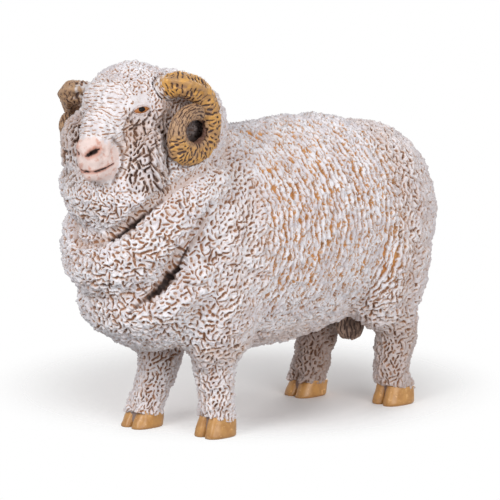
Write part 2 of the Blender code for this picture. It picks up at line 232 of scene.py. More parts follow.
def ripple(places, name, extra=0):
    """A smooth random field from the table. An extra number sets its copies apart."""
    strength, size, number = RIPPLES[name]
    chance = np.random.default_rng(SEED + number + extra)
    ways = chance.normal(size=(RIPPLE_WAVES, 3))
    spread = chance.uniform(*RIPPLE_SPREAD, (RIPPLE_WAVES, 1))
    ways *= (FULL_TURN / size) * spread / np.linalg.norm(ways, axis=1)[:, None]
    starts = chance.uniform(0, FULL_TURN, RIPPLE_WAVES)
    waves = np.cos(places @ ways.T + starts).sum(1)
    return strength * np.clip(waves / math.sqrt(2 * RIPPLE_WAVES), -1, 1)


def unit(rows):
    """Rows brought to length 1."""
    return rows / np.maximum(np.linalg.norm(rows, axis=1), 1e-9)[:, None]


def flat_on(rows, normals):
    """Directions laid flat on the surface, and brought to length 1."""
    rows = np.broadcast_to(rows, normals.shape)
    return unit(rows - np.einsum("ij,ij->i", rows, normals)[:, None] * normals)


def read_rows(items, name, width=1, kind=np.float32):
    """One property of the items of a mesh, as rows."""
    rows = np.empty(len(items) * width, kind)
    items.foreach_get(name, rows)
    return rows.reshape(-1, width)


def read_places(mesh):
    """The places of a mesh's points."""
    return read_rows(mesh.vertices, "co", 3).astype(float)


def write_places(mesh, places):
    """Put places back into a mesh."""
    mesh.vertices.foreach_set("co", places.astype(np.float32).ravel())
    mesh.update()


def read_normals(mesh):
    """The ways that a mesh's points face."""
    return read_rows(mesh.vertex_normals, "vector", 3).astype(float)


def read_edges(mesh):
    """The two ends of each edge of a mesh."""
    return read_rows(mesh.edges, "vertices", 2, np.int32)


def read_corners(mesh, name):
    """One number a corner of a mesh of quads."""
    return read_rows(mesh.loops, name, 1, np.int32).reshape(-1, 4)


def keep_value(mesh, name, values):
    """Keep one number a point, for the paint."""
    attribute = mesh.attributes.new(name, "FLOAT", "POINT")
    attribute.data.foreach_set("value", np.asarray(values, np.float32))


def relax(places, edges, rounds):
    """Move each point half the way to the middle of its neighbours, some rounds over."""
    one, two = edges[:, 0], edges[:, 1]
    count = np.maximum(np.bincount(edges.ravel(), minlength=len(places)), 1)
    for _ in range(rounds):
        middle = np.empty_like(places)
        for axis in range(3):
            middle[:, axis] = np.bincount(one, places[two, axis], len(places))
            middle[:, axis] += np.bincount(two, places[one, axis], len(places))
        places = places + 0.5 * (middle / count[:, None] - places)
    return places


def new_object(name, data):
    """A new object in the scene."""
    obj = bpy.data.objects.new(name, data)
    bpy.context.scene.collection.objects.link(obj)
    return obj


def add_piece(name, mesh, node=None):
    """A piece of the visual model that rides on the figure."""
    piece = new_object(name, mesh)
    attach(piece, "root")
    if node:
        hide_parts(node)


def smooth_mesh(name, places, faces, material=None):
    """A smooth mesh."""
    mesh = bpy.data.meshes.new(name)
    mesh.from_pydata(places.tolist(), [], faces)
    mesh.polygons.foreach_set("use_smooth", np.ones(len(faces), bool))
    if material:
        mesh.materials.append(material)
    return mesh


@contextmanager
def opened(mesh):
    """A mesh opened for a change of its points and faces."""
    made = bmesh.new()
    made.from_mesh(mesh)
    yield made
    made.to_mesh(mesh)
    made.free()


def face_outwards(mesh, weld=0):
    """Turn the faces of a closed mesh outwards, after welding points that are this close."""
    with opened(mesh) as made:
        if weld:
            bmesh.ops.remove_doubles(made, verts=made.verts, dist=weld)
        bmesh.ops.recalc_face_normals(made, faces=made.faces)
    return mesh


def keep_largest(made):
    """Delete the closed bubbles that fusing leaves inside a skin."""
    left = set(made.verts)
    islands = []
    while left:
        island = [left.pop()]
        for vert in island:
            for link in vert.link_edges:
                other = link.other_vert(vert)
                if other in left:
                    left.discard(other)
                    island.append(other)
        islands.append(island)
    for island in sorted(islands, key=len)[:-1]:
        bmesh.ops.delete(made, geom=island, context="VERTS")


def fused(nodes, voxel, closing):
    """One smooth closed skin over some CAD nodes, which also bridges gaps up to twice the closing."""
    mesh = bpy.data.meshes.new("fused")
    with opened(mesh) as made:
        for node in nodes:
            made.from_mesh(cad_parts[node].data)
        bmesh.ops.remove_doubles(made, verts=made.verts, dist=WELD)
    write_places(mesh, read_places(mesh) + read_normals(mesh) * closing)
    obj = new_object("fused", mesh)
    remesh = obj.modifiers.new("fuse", "REMESH")
    remesh.mode = "VOXEL"
    remesh.voxel_size = voxel
    depsgraph = bpy.context.evaluated_depsgraph_get()
    mesh = bpy.data.meshes.new_from_object(obj.evaluated_get(depsgraph))
    bpy.data.objects.remove(obj, do_unlink=True)
    with opened(mesh) as made:
        keep_largest(made)
    write_places(mesh, relax(read_places(mesh), read_edges(mesh), FUSED_RELAXING))
    places = read_places(mesh) - read_normals(mesh) * closing
    places[:, 2] = np.maximum(places[:, 2], 0)
    write_places(mesh, places)
    return mesh


def node_tree(nodes):
    """A tree of some CAD nodes, and the node of each face."""
    points, faces, owners = [], [], []
    for index, node in enumerate(nodes):
        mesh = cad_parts[node].data
        first = len(points)
        points.extend(tuple(vertex.co) for vertex in mesh.vertices)
        faces.extend(tuple(first + corner for corner in face.vertices) for face in mesh.polygons)
        owners.extend([index] * len(mesh.polygons))
    return BVHTree.FromPolygons(points, faces), owners


def divided(mesh, values):
    """A mesh with its quads split into four, and a value for each of its points."""
    places, edges = read_places(mesh), read_edges(mesh)
    corners, sides = read_corners(mesh, "vertex_index"), read_corners(mesh, "edge_index") + len(places)
    middle = len(places) + len(edges) + np.arange(len(corners))
    quads = [np.column_stack((corners[:, i], sides[:, i], middle, sides[:, i - 1])) for i in range(4)]
    quads = np.stack(quads, 1).reshape(-1, 4).tolist()
    places, values = (
        np.concatenate((rows, rows[edges].mean(1), rows[corners].mean(1))) for rows in (places, values)
    )
    fine = smooth_mesh(mesh.name, places, quads)
    write_places(fine, relax(places, read_edges(fine), DIVIDED_RELAXING))
    return fine, values


def fused_skin():
    """The skin over the woolly castings, its tree, each face's casting and how hollow each point is."""
    mesh = fused(WOOL_SLOTS, SKIN_VOXEL, CLOSING)
    places = read_places(mesh)
    broad = relax(places, read_edges(mesh), HOLLOW_RELAXING)
    hollow = np.einsum("ij,ij->i", broad - places, read_normals(mesh))
    castings, owners = node_tree(WOOL_SLOTS)
    nearest_owners = [owners[castings.find_nearest(face.center)[2]] for face in mesh.polygons]
    with opened(mesh) as made:
        tree = BVHTree.FromBMesh(made)
    fine, hollow = divided(mesh, hollow)
    return fine, tree, np.repeat(nearest_owners, 4), hollow


def part_skin(mesh, values, owners, paint):
    """Part the skin into a piece for each casting, with the ways its points face."""
    places, normals = read_places(mesh), read_normals(mesh)
    faces = read_corners(mesh, "vertex_index")
    for index, (name, slot) in enumerate(WOOL_SLOTS.items()):
        used, own_faces = np.unique(faces[owners == index], return_inverse=True)
        part = smooth_mesh("wool_" + name, places[used], own_faces.reshape(-1, 4).tolist(), paint)
        part.normals_split_custom_set_from_vertices(normals[used].tolist())
        for value_name, row in values.items():
            keep_value(part, value_name, row[used])
        add_piece("wool_" + name, part, name)


def on_skin(tree, pixel):
    """The skin's point and facing at a pixel of the photograph."""
    start = camera_point()
    place, normal, _, _ = tree.ray_cast(start, (pixel_point(pixel) - start).normalized())
    return place, normal


def nearest(tree, points):
    """The skin's points nearest to some points."""
    return [tree.find_nearest(point)[0] for point in points]


def lines_on_skin(tree, kind, line):
    """A line's points on the skin, by its kind, with its mirror image where it has one."""
    if kind == "shares":
        return [nearest(tree, (at((side * left, back, up)) for left, back, up in line)) for side in SIDES]
    if kind == "far":
        return [nearest(tree, (head_frame() @ (Vector(place) * PIXEL) for place in line))]
    seen = [on_skin(tree, pixel)[0] for pixel in line]
    if kind == "near":
        return [seen]
    mirror = head_mirror(-1) if kind == "head" else Matrix.Diagonal((-1, 1, 1, 1))
    return [seen, nearest(tree, (mirror @ point for point in seen))]


def distance_to_line(places, points):
    """How far each place is from a line of points."""
    best = np.full(len(places), np.inf)
    for start, end in zip(points[:-1], points[1:]):
        start, way = np.array(start), np.array(end) - np.array(start)
        share = np.clip((places - start) @ way / max(way @ way, 1e-12), 0, 1)
        best = np.minimum(best, np.linalg.norm(places - start - share[:, None] * way, axis=1))
    return best


def line_marks(places, tree, lines):
    """How far each place is from each line of a table, in its half width, and the row's rest."""
    for kind, line, wide, *rest in lines:
        for points in lines_on_skin(tree, kind, line):
            yield distance_to_line(places, points) / (wide * MM), rest


# Strokes: how much their half length, width, depth, bend and darkness vary
HALF_LENGTH_SPREAD = (0.24, 0.72)
WIDTH_SPREAD = (0.6, 1.35)
DEPTH_SPREAD = (0.6, 1.0)
BEND_SPREAD = 0.5
DARK_SPREAD = 0.16
# Their section in half widths: how far they reach, how flat their floor is, and their lip's middle and width
STROKE_REACH = 2.4
STROKE_FLOOR = 1.2
LIP_MIDDLE = 1.75
LIP_WIDTH = 0.6
LIP_FADING = 3
# Their ends: how blunt they are, and how wide; and how much the skin may turn away under them
END_BLUNTNESS = 1.8
END_WIDTH_SHARE = 0.25
LEAST_FACING = 0.1


class Strokes:
    """Short grooves. A plan gives the size of the stroke that each point would have."""

    def __init__(self, places, normals, way, plan):
        self.places, self.normals, self.way = places, normals, way
        self.plan = {name: np.broadcast_to(row, len(places)) for name, row in plan.items()}
        self.tree = kdtree.KDTree(len(places))
        for index, place in enumerate(places):
            self.tree.insert(place, index)
        self.tree.balance()

    def near(self, index, reach):
        """The points within reach of a point."""
        found = self.tree.find_range(self.places[index], reach)
        return np.fromiter((item[1] for item in found), int, len(found))

    def scatter(self, choice, seed):
        """Pick some of the chosen points, so that their strokes leave each other room."""
        chance = np.random.default_rng(seed)
        blocked = np.zeros(len(self.places), bool)
        picked = []
        for index in chance.permutation(choice):
            if blocked[index]:
                continue
            picked.append(index)
            along, across = self.plan["room"][index], self.plan["gap"][index]
            near = self.near(index, max(along, across))
            offset = self.places[near] - self.places[index]
            lengthwise = offset @ self.way[index]
            sideways = np.sqrt(np.maximum((offset * offset).sum(1) - lengthwise**2, 0))
            blocked[near[(lengthwise / along) ** 2 + (sideways / across) ** 2 < 1]] = True
        return np.array(picked)

    def press(self, picked, seed):
        """The grooves' depth at each point, from 0 to 1, the lip beside them and how dark they are."""
        chance = np.random.default_rng(seed)
        count = len(picked)
        half = self.plan["length"][picked] * chance.uniform(*HALF_LENGTH_SPREAD, count)
        wide = self.plan["width"][picked] * chance.uniform(*WIDTH_SPREAD, count)
        bend = chance.normal(0, BEND_SPREAD, count) * self.plan["bend"][picked] / half
        depth = chance.uniform(*DEPTH_SPREAD, count)
        shade = np.clip(self.plan["dark"][picked] + chance.normal(0, DARK_SPREAD, count), 0, 1)
        reach = half + STROKE_REACH * wide
        points = [self.near(index, reach[number]) for number, index in enumerate(picked)]
        owners = np.repeat(np.arange(count), [len(row) for row in points])
        points = np.concatenate(points)
        facing = np.einsum("ij,ij->i", self.normals[points], self.normals[picked[owners]])
        owners, points = owners[facing > LEAST_FACING], points[facing > LEAST_FACING]
        middles = picked[owners]
        half, wide, bend = half[owners], wide[owners], bend[owners]
        offset = self.places[points] - self.places[middles]
        along = np.einsum("ij,ij->i", offset, self.way[middles])
        across = np.einsum("ij,ij->i", offset, np.cross(self.normals[middles], self.way[middles]))
        across = across - bend * along**2 + bend * half**2 / 3
        left_over = np.clip(1 - (along / half) ** 2, 0, 1)
        ends = np.clip(left_over * END_BLUNTNESS, 0, 1)
        off = np.abs(across) / (wide * blend(END_WIDTH_SHARE, 1, np.sqrt(left_over)))
        pressed = depth[owners] * ends * np.clip(STROKE_FLOOR * (1 - off**2), 0, 1)
        groove, lip, dark = (np.zeros(len(self.places)) for _ in range(3))
        order = np.argsort(pressed, kind="stable")
        groove[points[order]] = pressed[order]
        dark[points[order]] = shade[owners[order]]
        np.maximum.at(lip, points, ends * bump((off - LIP_MIDDLE) / LIP_WIDTH))
        return groove, lip * (1 - np.clip(groove * LIP_FADING, 0, 1)), dark


# Rows of the fleece, in pixels: spacing, middle of their bows, how much they bend and how far they open
ROW_SPACING = 6.9
ROW_MIDDLE = 215
ROW_BOW = 0.0033
ROW_OPENING = 0.56
# The muzzle's edge: how far forward it is at each height of the head, and how it bows in the photograph
MUZZLE_HEIGHTS = (-56, -50, -44, -32, -17, -7, 2, 10)
MUZZLE_EDGES = (86, 62, 51, 44, 45, 58, 75, 96)
MUZZLE_BOW = 0.012
MUZZLE_MIDDLE = 158

# Where each kind of wool lies: what is measured, in pixels, and where its soft edge starts and is full
BODY_REGIONS = {
    "head": (("height", 240, 262), ("back", -118, -134)),
    "low": (("height", 150, 96),),
    "leg": (("height", 90, 70),),
    "wave": (("back", -86, -50), ("height", 96, 132), ("back", 132, 100)),
    "flank": (("height", 118, 160), ("back", -86, -50)),
    "rump": (("back", 86, 120), ("height", 84, 110)),
    "shoulder": (("back", -140, -112), ("height", 70, 90), ("back", 120, 80)),
    # These get painted shade: the far hind leg's inner side, under the belly, the hind legs and the underside
    "shade": (("side", -58, -44), ("side", 10, -14), ("back", 50, 70), ("height", 118, 96)),
    "belly": (("back", 84, 98), ("height", 122, 108), ("aside", 36, 24)),
    "hind": (("back", 50, 70), ("height", 92, 74)),
    "under": (("height", 110, 84),),
}
HEAD_REGIONS = {
    "bridge": (("wide", 27, 20), ("forward", 34, 44), ("up", -22, -12)),
    "cheek": (
        ("across", 124, 132), ("down", 106, 116), ("across", 172, 166), ("down", 198, 188),
        ("forward", 70, 58),
    ),
    "lobe": (("across", 149, 152), ("down", 150, 154), ("across", 170, 167), ("down", 192, 188)),
    "temple": (("across", 158, 164), ("down", 98, 104), ("across", 192, 186), ("down", 124, 116)),
    "muzzle": (("past muzzle edge", 0, 7), ("bared", 123, 120)),
    "peach": (("past muzzle edge", -1, 17), ("bared", 123, 119)),
    "face": (("forward", 5, 30), ("up", -30, -10)),
}

# The strokes by region, later rows over earlier ones: how far they turn off their way, their length, width,
# gap and depth in mm, their bend and their darkness. A pair goes from its first number to its second down
# the body. The darker strokes low on the body, on the cheeks, temples and the far hind leg's inner side are
# partly painted shade
STROKES = {
    "all": {
        "turn": 1.6, "length": 1.6, "width": 0.33, "gap": 0.97, "bend": 0.5, "dark": (0.14, 0.4), "deep": 0.56
    },
    "shoulder": {"turn": 0.75, "length": 1.3, "dark": (0.36, 0.52)},
    "wave": {"turn": 0.3, "length": 1.1, "width": 0.16, "gap": 0.85, "bend": 0.3, "dark": 0.04, "deep": 0.5},
    "rump": {"turn": 0.8, "length": 1.5, "dark": 0.34},
    "leg": {"turn": 0.9, "length": 1.25, "width": 0.26, "gap": 0.78, "dark": 0.38},
    "head": {"length": 1.0, "width": 0.24, "gap": 0.72, "dark": 0.12, "deep": 0.32},
    "bridge": {"turn": 0.16, "length": 1.7, "width": 0.15, "gap": 0.78, "bend": 0.2, "deep": 0.16},
    "cheek": {
        "turn": 0.9, "length": 1.5, "width": 0.33, "gap": 0.78, "bend": 0.25, "dark": 0.95, "deep": 0.75
    },
    "lobe": {"turn": 0.35, "length": 2.8, "width": 0.4, "gap": 0.92},
    "temple": {"dark": 0.6},
    "shade": {"dark": 0.9},
}
ROOM_SHARE = 0.7
# The way the strokes run where they don't follow the rows. None is from side to side of the head
WAYS = {
    "shoulder": (0.0, 0.65, 0.76),
    "leg": (0.0, -0.55, -1.0),
    "bridge": None,
    "cheek": (0.0, -0.55, -1.0),
    "lobe": (0.0, 0.5, -1.0),
}


def photo_pixels(head):
    """Where head places are seen in the photograph, with the head's far side folded onto its near one."""
    middle = (head_frame().translation - FEET) / PIXEL
    axes = [head_frame().col[axis].xyz for axis in range(3)]
    folded = (np.abs(head[:, 0]), head[:, 1], head[:, 2])
    across, down = (
        middle.dot(way) + sum(row * axis.dot(way) for row, axis in zip(folded, axes)) for way in (RIGHT, UP)
    )
    return FEET_PIXEL[0] + across, FEET_PIXEL[1] - down


def wool_masks(places):
    """Where each kind of wool is, from 0 to 1, with the rows of the fleece and their slope."""
    side, back, height = ((places - np.array(FEET)) / PIXEL).T
    head = seen_from(head_frame(), places)
    across, down = photo_pixels(head)
    bow = ROW_BOW * (height - ROW_MIDDLE)
    rows = (back + bow * (height - ROW_MIDDLE)) / ROW_SPACING
    rows = np.cos(FULL_TURN * (rows + ripple(places, "row drift") + ripple(places, "row waver")))
    opening = ROW_OPENING - ripple(places, "row opening") + ripple(places, "row pinholes")
    muzzle_edge = np.interp(head[:, 2], MUZZLE_HEIGHTS, MUZZLE_EDGES)
    measured = {
        "side": side,
        "aside": np.abs(side),
        "back": back,
        "height": height,
        "wide": np.abs(head[:, 0]),
        "forward": -head[:, 1],
        "up": head[:, 2],
        "across": across,
        "down": down,
        "past muzzle edge": -head[:, 1] - muzzle_edge + ripple(places, "muzzle fray"),
        "bared": across + MUZZLE_BOW * (down - MUZZLE_MIDDLE) ** 2,
    }
    masks = {}
    for name, edges in (BODY_REGIONS | HEAD_REGIONS).items():
        start = masks["head"] if name in HEAD_REGIONS else 1
        masks[name] = math.prod((step(low, high, measured[key]) for key, low, high in edges), start=start)
    masks["shoulder"] = masks["shoulder"] * (1 - masks["wave"]) * (1 - masks["head"])
    masks["under"] = masks["under"] * (1 - masks["leg"])
    masks["flank"] = masks["flank"] * masks["wave"]
    masks["valley"] = masks["wave"] * edge("row valley", -rows - opening)
    masks["rows"] = rows * masks["wave"]
    masks["slope"] = 2 * bow
    return masks


def by_region(masks, name):
    """One of the strokes' numbers at each point, by region."""
    result = None
    for region, row in STROKES.items():
        if name in row:
            value = row[name]
            if isinstance(value, tuple):
                value = blend(*value, masks["low"])
            result = value if result is None else blend(result, value, masks[region])
    return result


def wool_way(masks, normals):
    """Which way the strokes run at each point: along the rows on the flank, any way on the neck."""
    chance = np.random.default_rng(SEED)
    count = len(normals)
    uphill = np.column_stack((np.zeros(count), np.ones(count), masks["slope"]))
    way = unit(np.cross(normals, uphill))
    for region, direction in WAYS.items():
        laid = flat_on(direction or tuple(head_frame().col[0])[:3], normals)
        way = np.where((masks[region] > 0.5)[:, None], laid, way)
    turn = chance.uniform(-1, 1, count) * by_region(masks, "turn")
    return unit(way * np.cos(turn)[:, None] + np.cross(normals, way) * np.sin(turn)[:, None])


# Lines on the skin. Their points are pixels, on the near side alone ("near") or with a mirror image in the
# body or the head, shares on both sides ("shares"), or head places of the far side ("far").
# Creases: points, half width and depth in mm, and darkness, the dark paint in them being partly painted shade
CREASES = (
    ("near", ((110, 241), (121, 234), (133, 225)), 0.6, 0.8, 1.0),
    ("near", ((104, 243), (97, 245), (88, 243)), 0.4, 0.3, 0.3),
    ("body", ((133, 225), (142, 217)), 0.55, 0.7, 0.9),
    ("body", ((142, 217), (150, 211), (163, 200)), 0.5, 0.5, 0.6),
    ("body", ((163, 200), (176, 189), (190, 180)), 0.5, 0.3, 0.2),
    ("body", ((188, 248), (182, 258), (177, 267)), 0.4, 0.6, 0.75),
    ("body", ((177, 267), (171, 275)), 0.6, 0.7, 0.9),
    ("body", ((171, 275), (165, 283), (158, 290)), 0.85, 1.0, 1.0),
    ("body", ((158, 290), (148, 298)), 0.6, 0.7, 0.9),
    ("body", ((148, 298), (139, 304), (128, 314)), 0.45, 0.4, 0.55),
    ("body", ((204, 222), (197, 236), (188, 248)), 0.5, 0.35, 0.2),
    ("near", ((83, 280), (105, 286), (118, 287)), 0.35, 0.35, 0.7),
    ("near", ((138, 287), (147, 293)), 0.3, 0.25, 0.6),
    ("near", ((179, 202), (190, 216), (192, 231)), 0.35, 0.45, 0.5),
    ("near", ((158, 236), (168, 241), (179, 247), (179, 255)), 0.35, 0.45, 0.5),
    ("near", ((210, 244), (211, 256), (208, 267)), 0.3, 0.35, 0.5),
    ("near", ((188, 283), (198, 286), (207, 283)), 0.3, 0.3, 0.5),
    ("head", ((151, 112), (145, 121), (134, 127)), 0.3, 0.35, 0.8),
    ("head", ((133, 113), (127, 120), (124, 131), (126, 142)), 0.3, 0.35, 0.6),
    ("head", ((113, 138), (121, 146), (124, 157), (121, 170), (113, 183)), 0.5, 0.5, 0.5),
    ("head", ((156, 132), (156, 143), (161, 156), (166, 167)), 0.35, 0.45, 0.8),
    ("head", ((149, 150), (150, 165), (155, 179), (161, 191)), 0.4, 0.6, 0.7),
    ("head", ((168, 158), (170, 172), (166, 188)), 0.4, 0.5, 0.7),
    ("head", ((170, 170), (185, 167), (203, 161)), 0.4, 0.3, 0.5),
    ("shares", ((17, 176, 244), (17, 190, 218), (16, 196, 190), (9, 196, 166)), 0.45, 0.7, 0.6),
)
# Bands of worn wool between the folds: points and half width in mm
WORN_BANDS = (
    ("body", ((160, 203), (178, 188), (198, 176), (222, 167)), 0.42),
    ("body", ((206, 220), (198, 236), (190, 248)), 0.4),
)
# Slits of nostrils and mouth: points, half width and depth in mm
SLITS = (
    ("near", ((85.4, 156.6), (92, 153), (99.4, 149.2)), 0.2, 0.3),
    ("near", ((87.6, 155.6), (91, 153.9)), 0.42, 0.8),
    ("near", ((91, 153.7), (96.5, 151.0)), 0.52, 0.9),
    ("near", ((82, 169.6), (88, 171.9), (97, 171.4), (105, 168.4), (113, 163.6)), 0.15, 0.3),
    ("near", ((86, 171.5), (97, 171.4), (105, 168.4)), 0.24, 0.4),
    ("far", ((-8, -88, -15), (-14, -78, -10)), 0.3, 0.7),
    ("far", ((-2, -90, -34), (-9, -78, -33), (-14, -62, -30)), 0.16, 0.4),
)
# Lumps of the muzzle, on both sides: head place, reach in pixels, and rise in mm
MUZZLE_LUMPS = (
    ((9, -86, -7), 6, 0.4),
    ((0, -92, -22), 5, -0.2),
    ((8, -86, -28), 8, 0.35),
    ((2, -84, -46), 8, 0.25),
    ((16, -76, -18), 5, -0.35),
    ((19, -66, -30), 8, 0.25),
)
# Where the skin seen through the left horn's coil is painted with shade: middle and half sizes in pixels,
# reach and depth
HORN_HOLE_PIXEL = (197, 133)
HORN_HOLE_SIZE = (9.6, 11.2)
HORN_HOLE_REACH = 6.5 * MM
HOLE_DEPTH = 0.5 * MM
# The near eye's corners in pixels, its height and the bare skin round it as shares, and the socket's depth
EYE_CORNERS = ((133.6, 111.6), (150.0, 108.2))
EYE_HEIGHT_SHARE = 0.4
EYE_BARE_SHARES = (1.45, 1.4)
EYE_BARE_RISE_SHARE = 0.5
SOCKET_DEPTH = 0.4 * MM
# The height of the wool's edge over the hooves of each side, in pixels: at their front and at their back
HOOF_EDGES = {1: (20.5, 14.0), -1: (15.5, 12.0)}
HOOF_REACH = 36
HOOF_EDGE_SOFTNESS = 0.6
# How the skin under that edge is drawn in, and how much it is lifted off the ground in pixels
TUCK_SHARE = 0.34
TUCK_RISE = 1.5

# Relief of the wool: rise of lips, rows and knots, depth of its lobes' borders, and how lumpy bare skin is
LIP_HEIGHT = 0.24 * MM
ROW_HEIGHT = 0.3 * MM
KNOT_HEIGHTS = (0.24, 0.13)
LOBE_DEPTH = 0.26 * MM
LOBE_WIDTH = 0.28
BARE_LUMP_SHARE = 0.3
# Creases: how ragged they are, and how wide their paint is
CREASE_RAGGEDNESS = 0.6
CREASE_PAINT_SHARE = 0.8
# Strokes start only where the skin is less bare than this and isn't in a valley between rows
STROKE_BARE = 0.4
STROKE_VALLEY = 0.3
# How much the wool is darkened by region: a tan coat on the worn bands, darker legs and rump, and painted
# shade under the body, on the cheeks, temples, hind legs, shoulders, face, the lobes' borders and in the
# hollows. Then how much of the brown painted shade each place gets
GRIME_AND_SHADE = {
    "rump": 0.35, "under": 0.45, "cheek": 0.3, "leg": 0.35, "hind": 0.3, "worn": 0.7, "lobes": 0.3,
    "temple": 1, "shoulder": 0.2, "face": 0.3, "grimy shaded hollow": 0.8,
}
SHADES = {"shade": 1, "belly": 1, "hole": 1, "hoof": 1, "temple": 0.42, "hind": 0.42, "cheek": 0.231}
# The least ochre of the flank, how much painted shade the gap in the hooves and the hollows get from
# the creases' dark paint, and how much painted shade the horn's hole gets from the slits' dark paint
OCHRE_LEAST = 0.55
HOOF_GAP_SHADE = 0.42
HOLLOW_CREASE = 0.55
HOLE_SHADE = 0.72


def hole_offset(head):
    """How far head places are seen from the middle of the left horn's hole, in its half sizes."""
    return (np.column_stack(photo_pixels(head)) - np.array(HORN_HOLE_PIXEL)) / np.array(HORN_HOLE_SIZE)


def eye_frames(tree):
    """Each eye's frame, with X to its outer corner and Z out of the face, and its half length."""
    ends = [Vector(on_skin(tree, pixel)[0]) for pixel in EYE_CORNERS]
    frames = {}
    for side in SIDES:
        inner, outer = (tree.find_nearest(head_mirror(side) @ end) for end in ends)
        along = (outer[0] - inner[0]).normalized()
        out = inner[1] + outer[1]
        out = (out - along * out.dot(along)).normalized()
        up = out.cross(along) * side
        turn = Matrix((along, up, out)).transposed().to_4x4()
        middle = tree.find_nearest((inner[0] + outer[0]) / 2)[0]
        frames[side] = (Matrix.Translation(middle) @ turn, (outer[0] - inner[0]).length / 2)
    return frames


def hoof_edge(back, side):
    """The height of the wool's edge over a hoof, by how far back it is from its middle."""
    return blend(*HOOF_EDGES[1 if side > 0 else -1], edge("hoof slope", back))


def hooved(places):
    """Where the skin is inside a hoof, and the middle of the nearest hoof, in shares."""
    ground = (places - np.array(FEET)) / PIXEL
    fray = ripple(places, "hoof fray")
    mask, least = np.zeros(len(places)), np.full(len(places), np.inf)
    middle = np.zeros((len(places), 2))
    for place in HOOF_PLACES.values():
        offset = ground[:, :2] - np.array(place)
        off = np.linalg.norm(offset, axis=1)
        height = hoof_edge(offset[:, 1], place[0]) + fray
        inside = step(height + HOOF_EDGE_SOFTNESS, height - HOOF_EDGE_SOFTNESS, ground[:, 2])
        mask = np.maximum(mask, (off < HOOF_REACH) * inside)
        middle[off < least] = place
        least = np.minimum(least, off)
    return mask, middle


def tucked(places, mask, middle):
    """The skin, drawn in under the wool's edge so that it is inside the hoof's shell."""
    ground = (places - np.array(FEET)) / PIXEL
    ground[:, :2] = middle + (ground[:, :2] - middle) * (1 - TUCK_SHARE * mask)[:, None]
    ground[:, 2] += mask * TUCK_RISE * edge("hoof sole", ground[:, 2])
    places = ground * PIXEL + np.array(FEET)
    places[:, 2] = np.maximum(places[:, 2], 0)
    return places


def wool_relief(places, masks, lip, groove, bare):
    """How far the wool rises over the skin: lips, grooves, lumps, rows and the borders of its lobes."""
    wave, head = masks["wave"], masks["head"]
    lumps = ripple(places, "wool lumps")
    lumps = lumps + MM * blend(*KNOT_HEIGHTS, wave) * ripple(places, "wool knots")
    lumps = lumps + ROW_HEIGHT * masks["rows"]
    lumps = lumps + ripple(places, "wool grain") * (1 - head) * (1 - wave / 2)
    lumps = (lumps - LOBE_DEPTH * masks["lobes"]) * (1 - (1 - BARE_LUMP_SHARE) * bare)
    return lip * LIP_HEIGHT - groove * MM * by_region(masks, "deep") + lumps


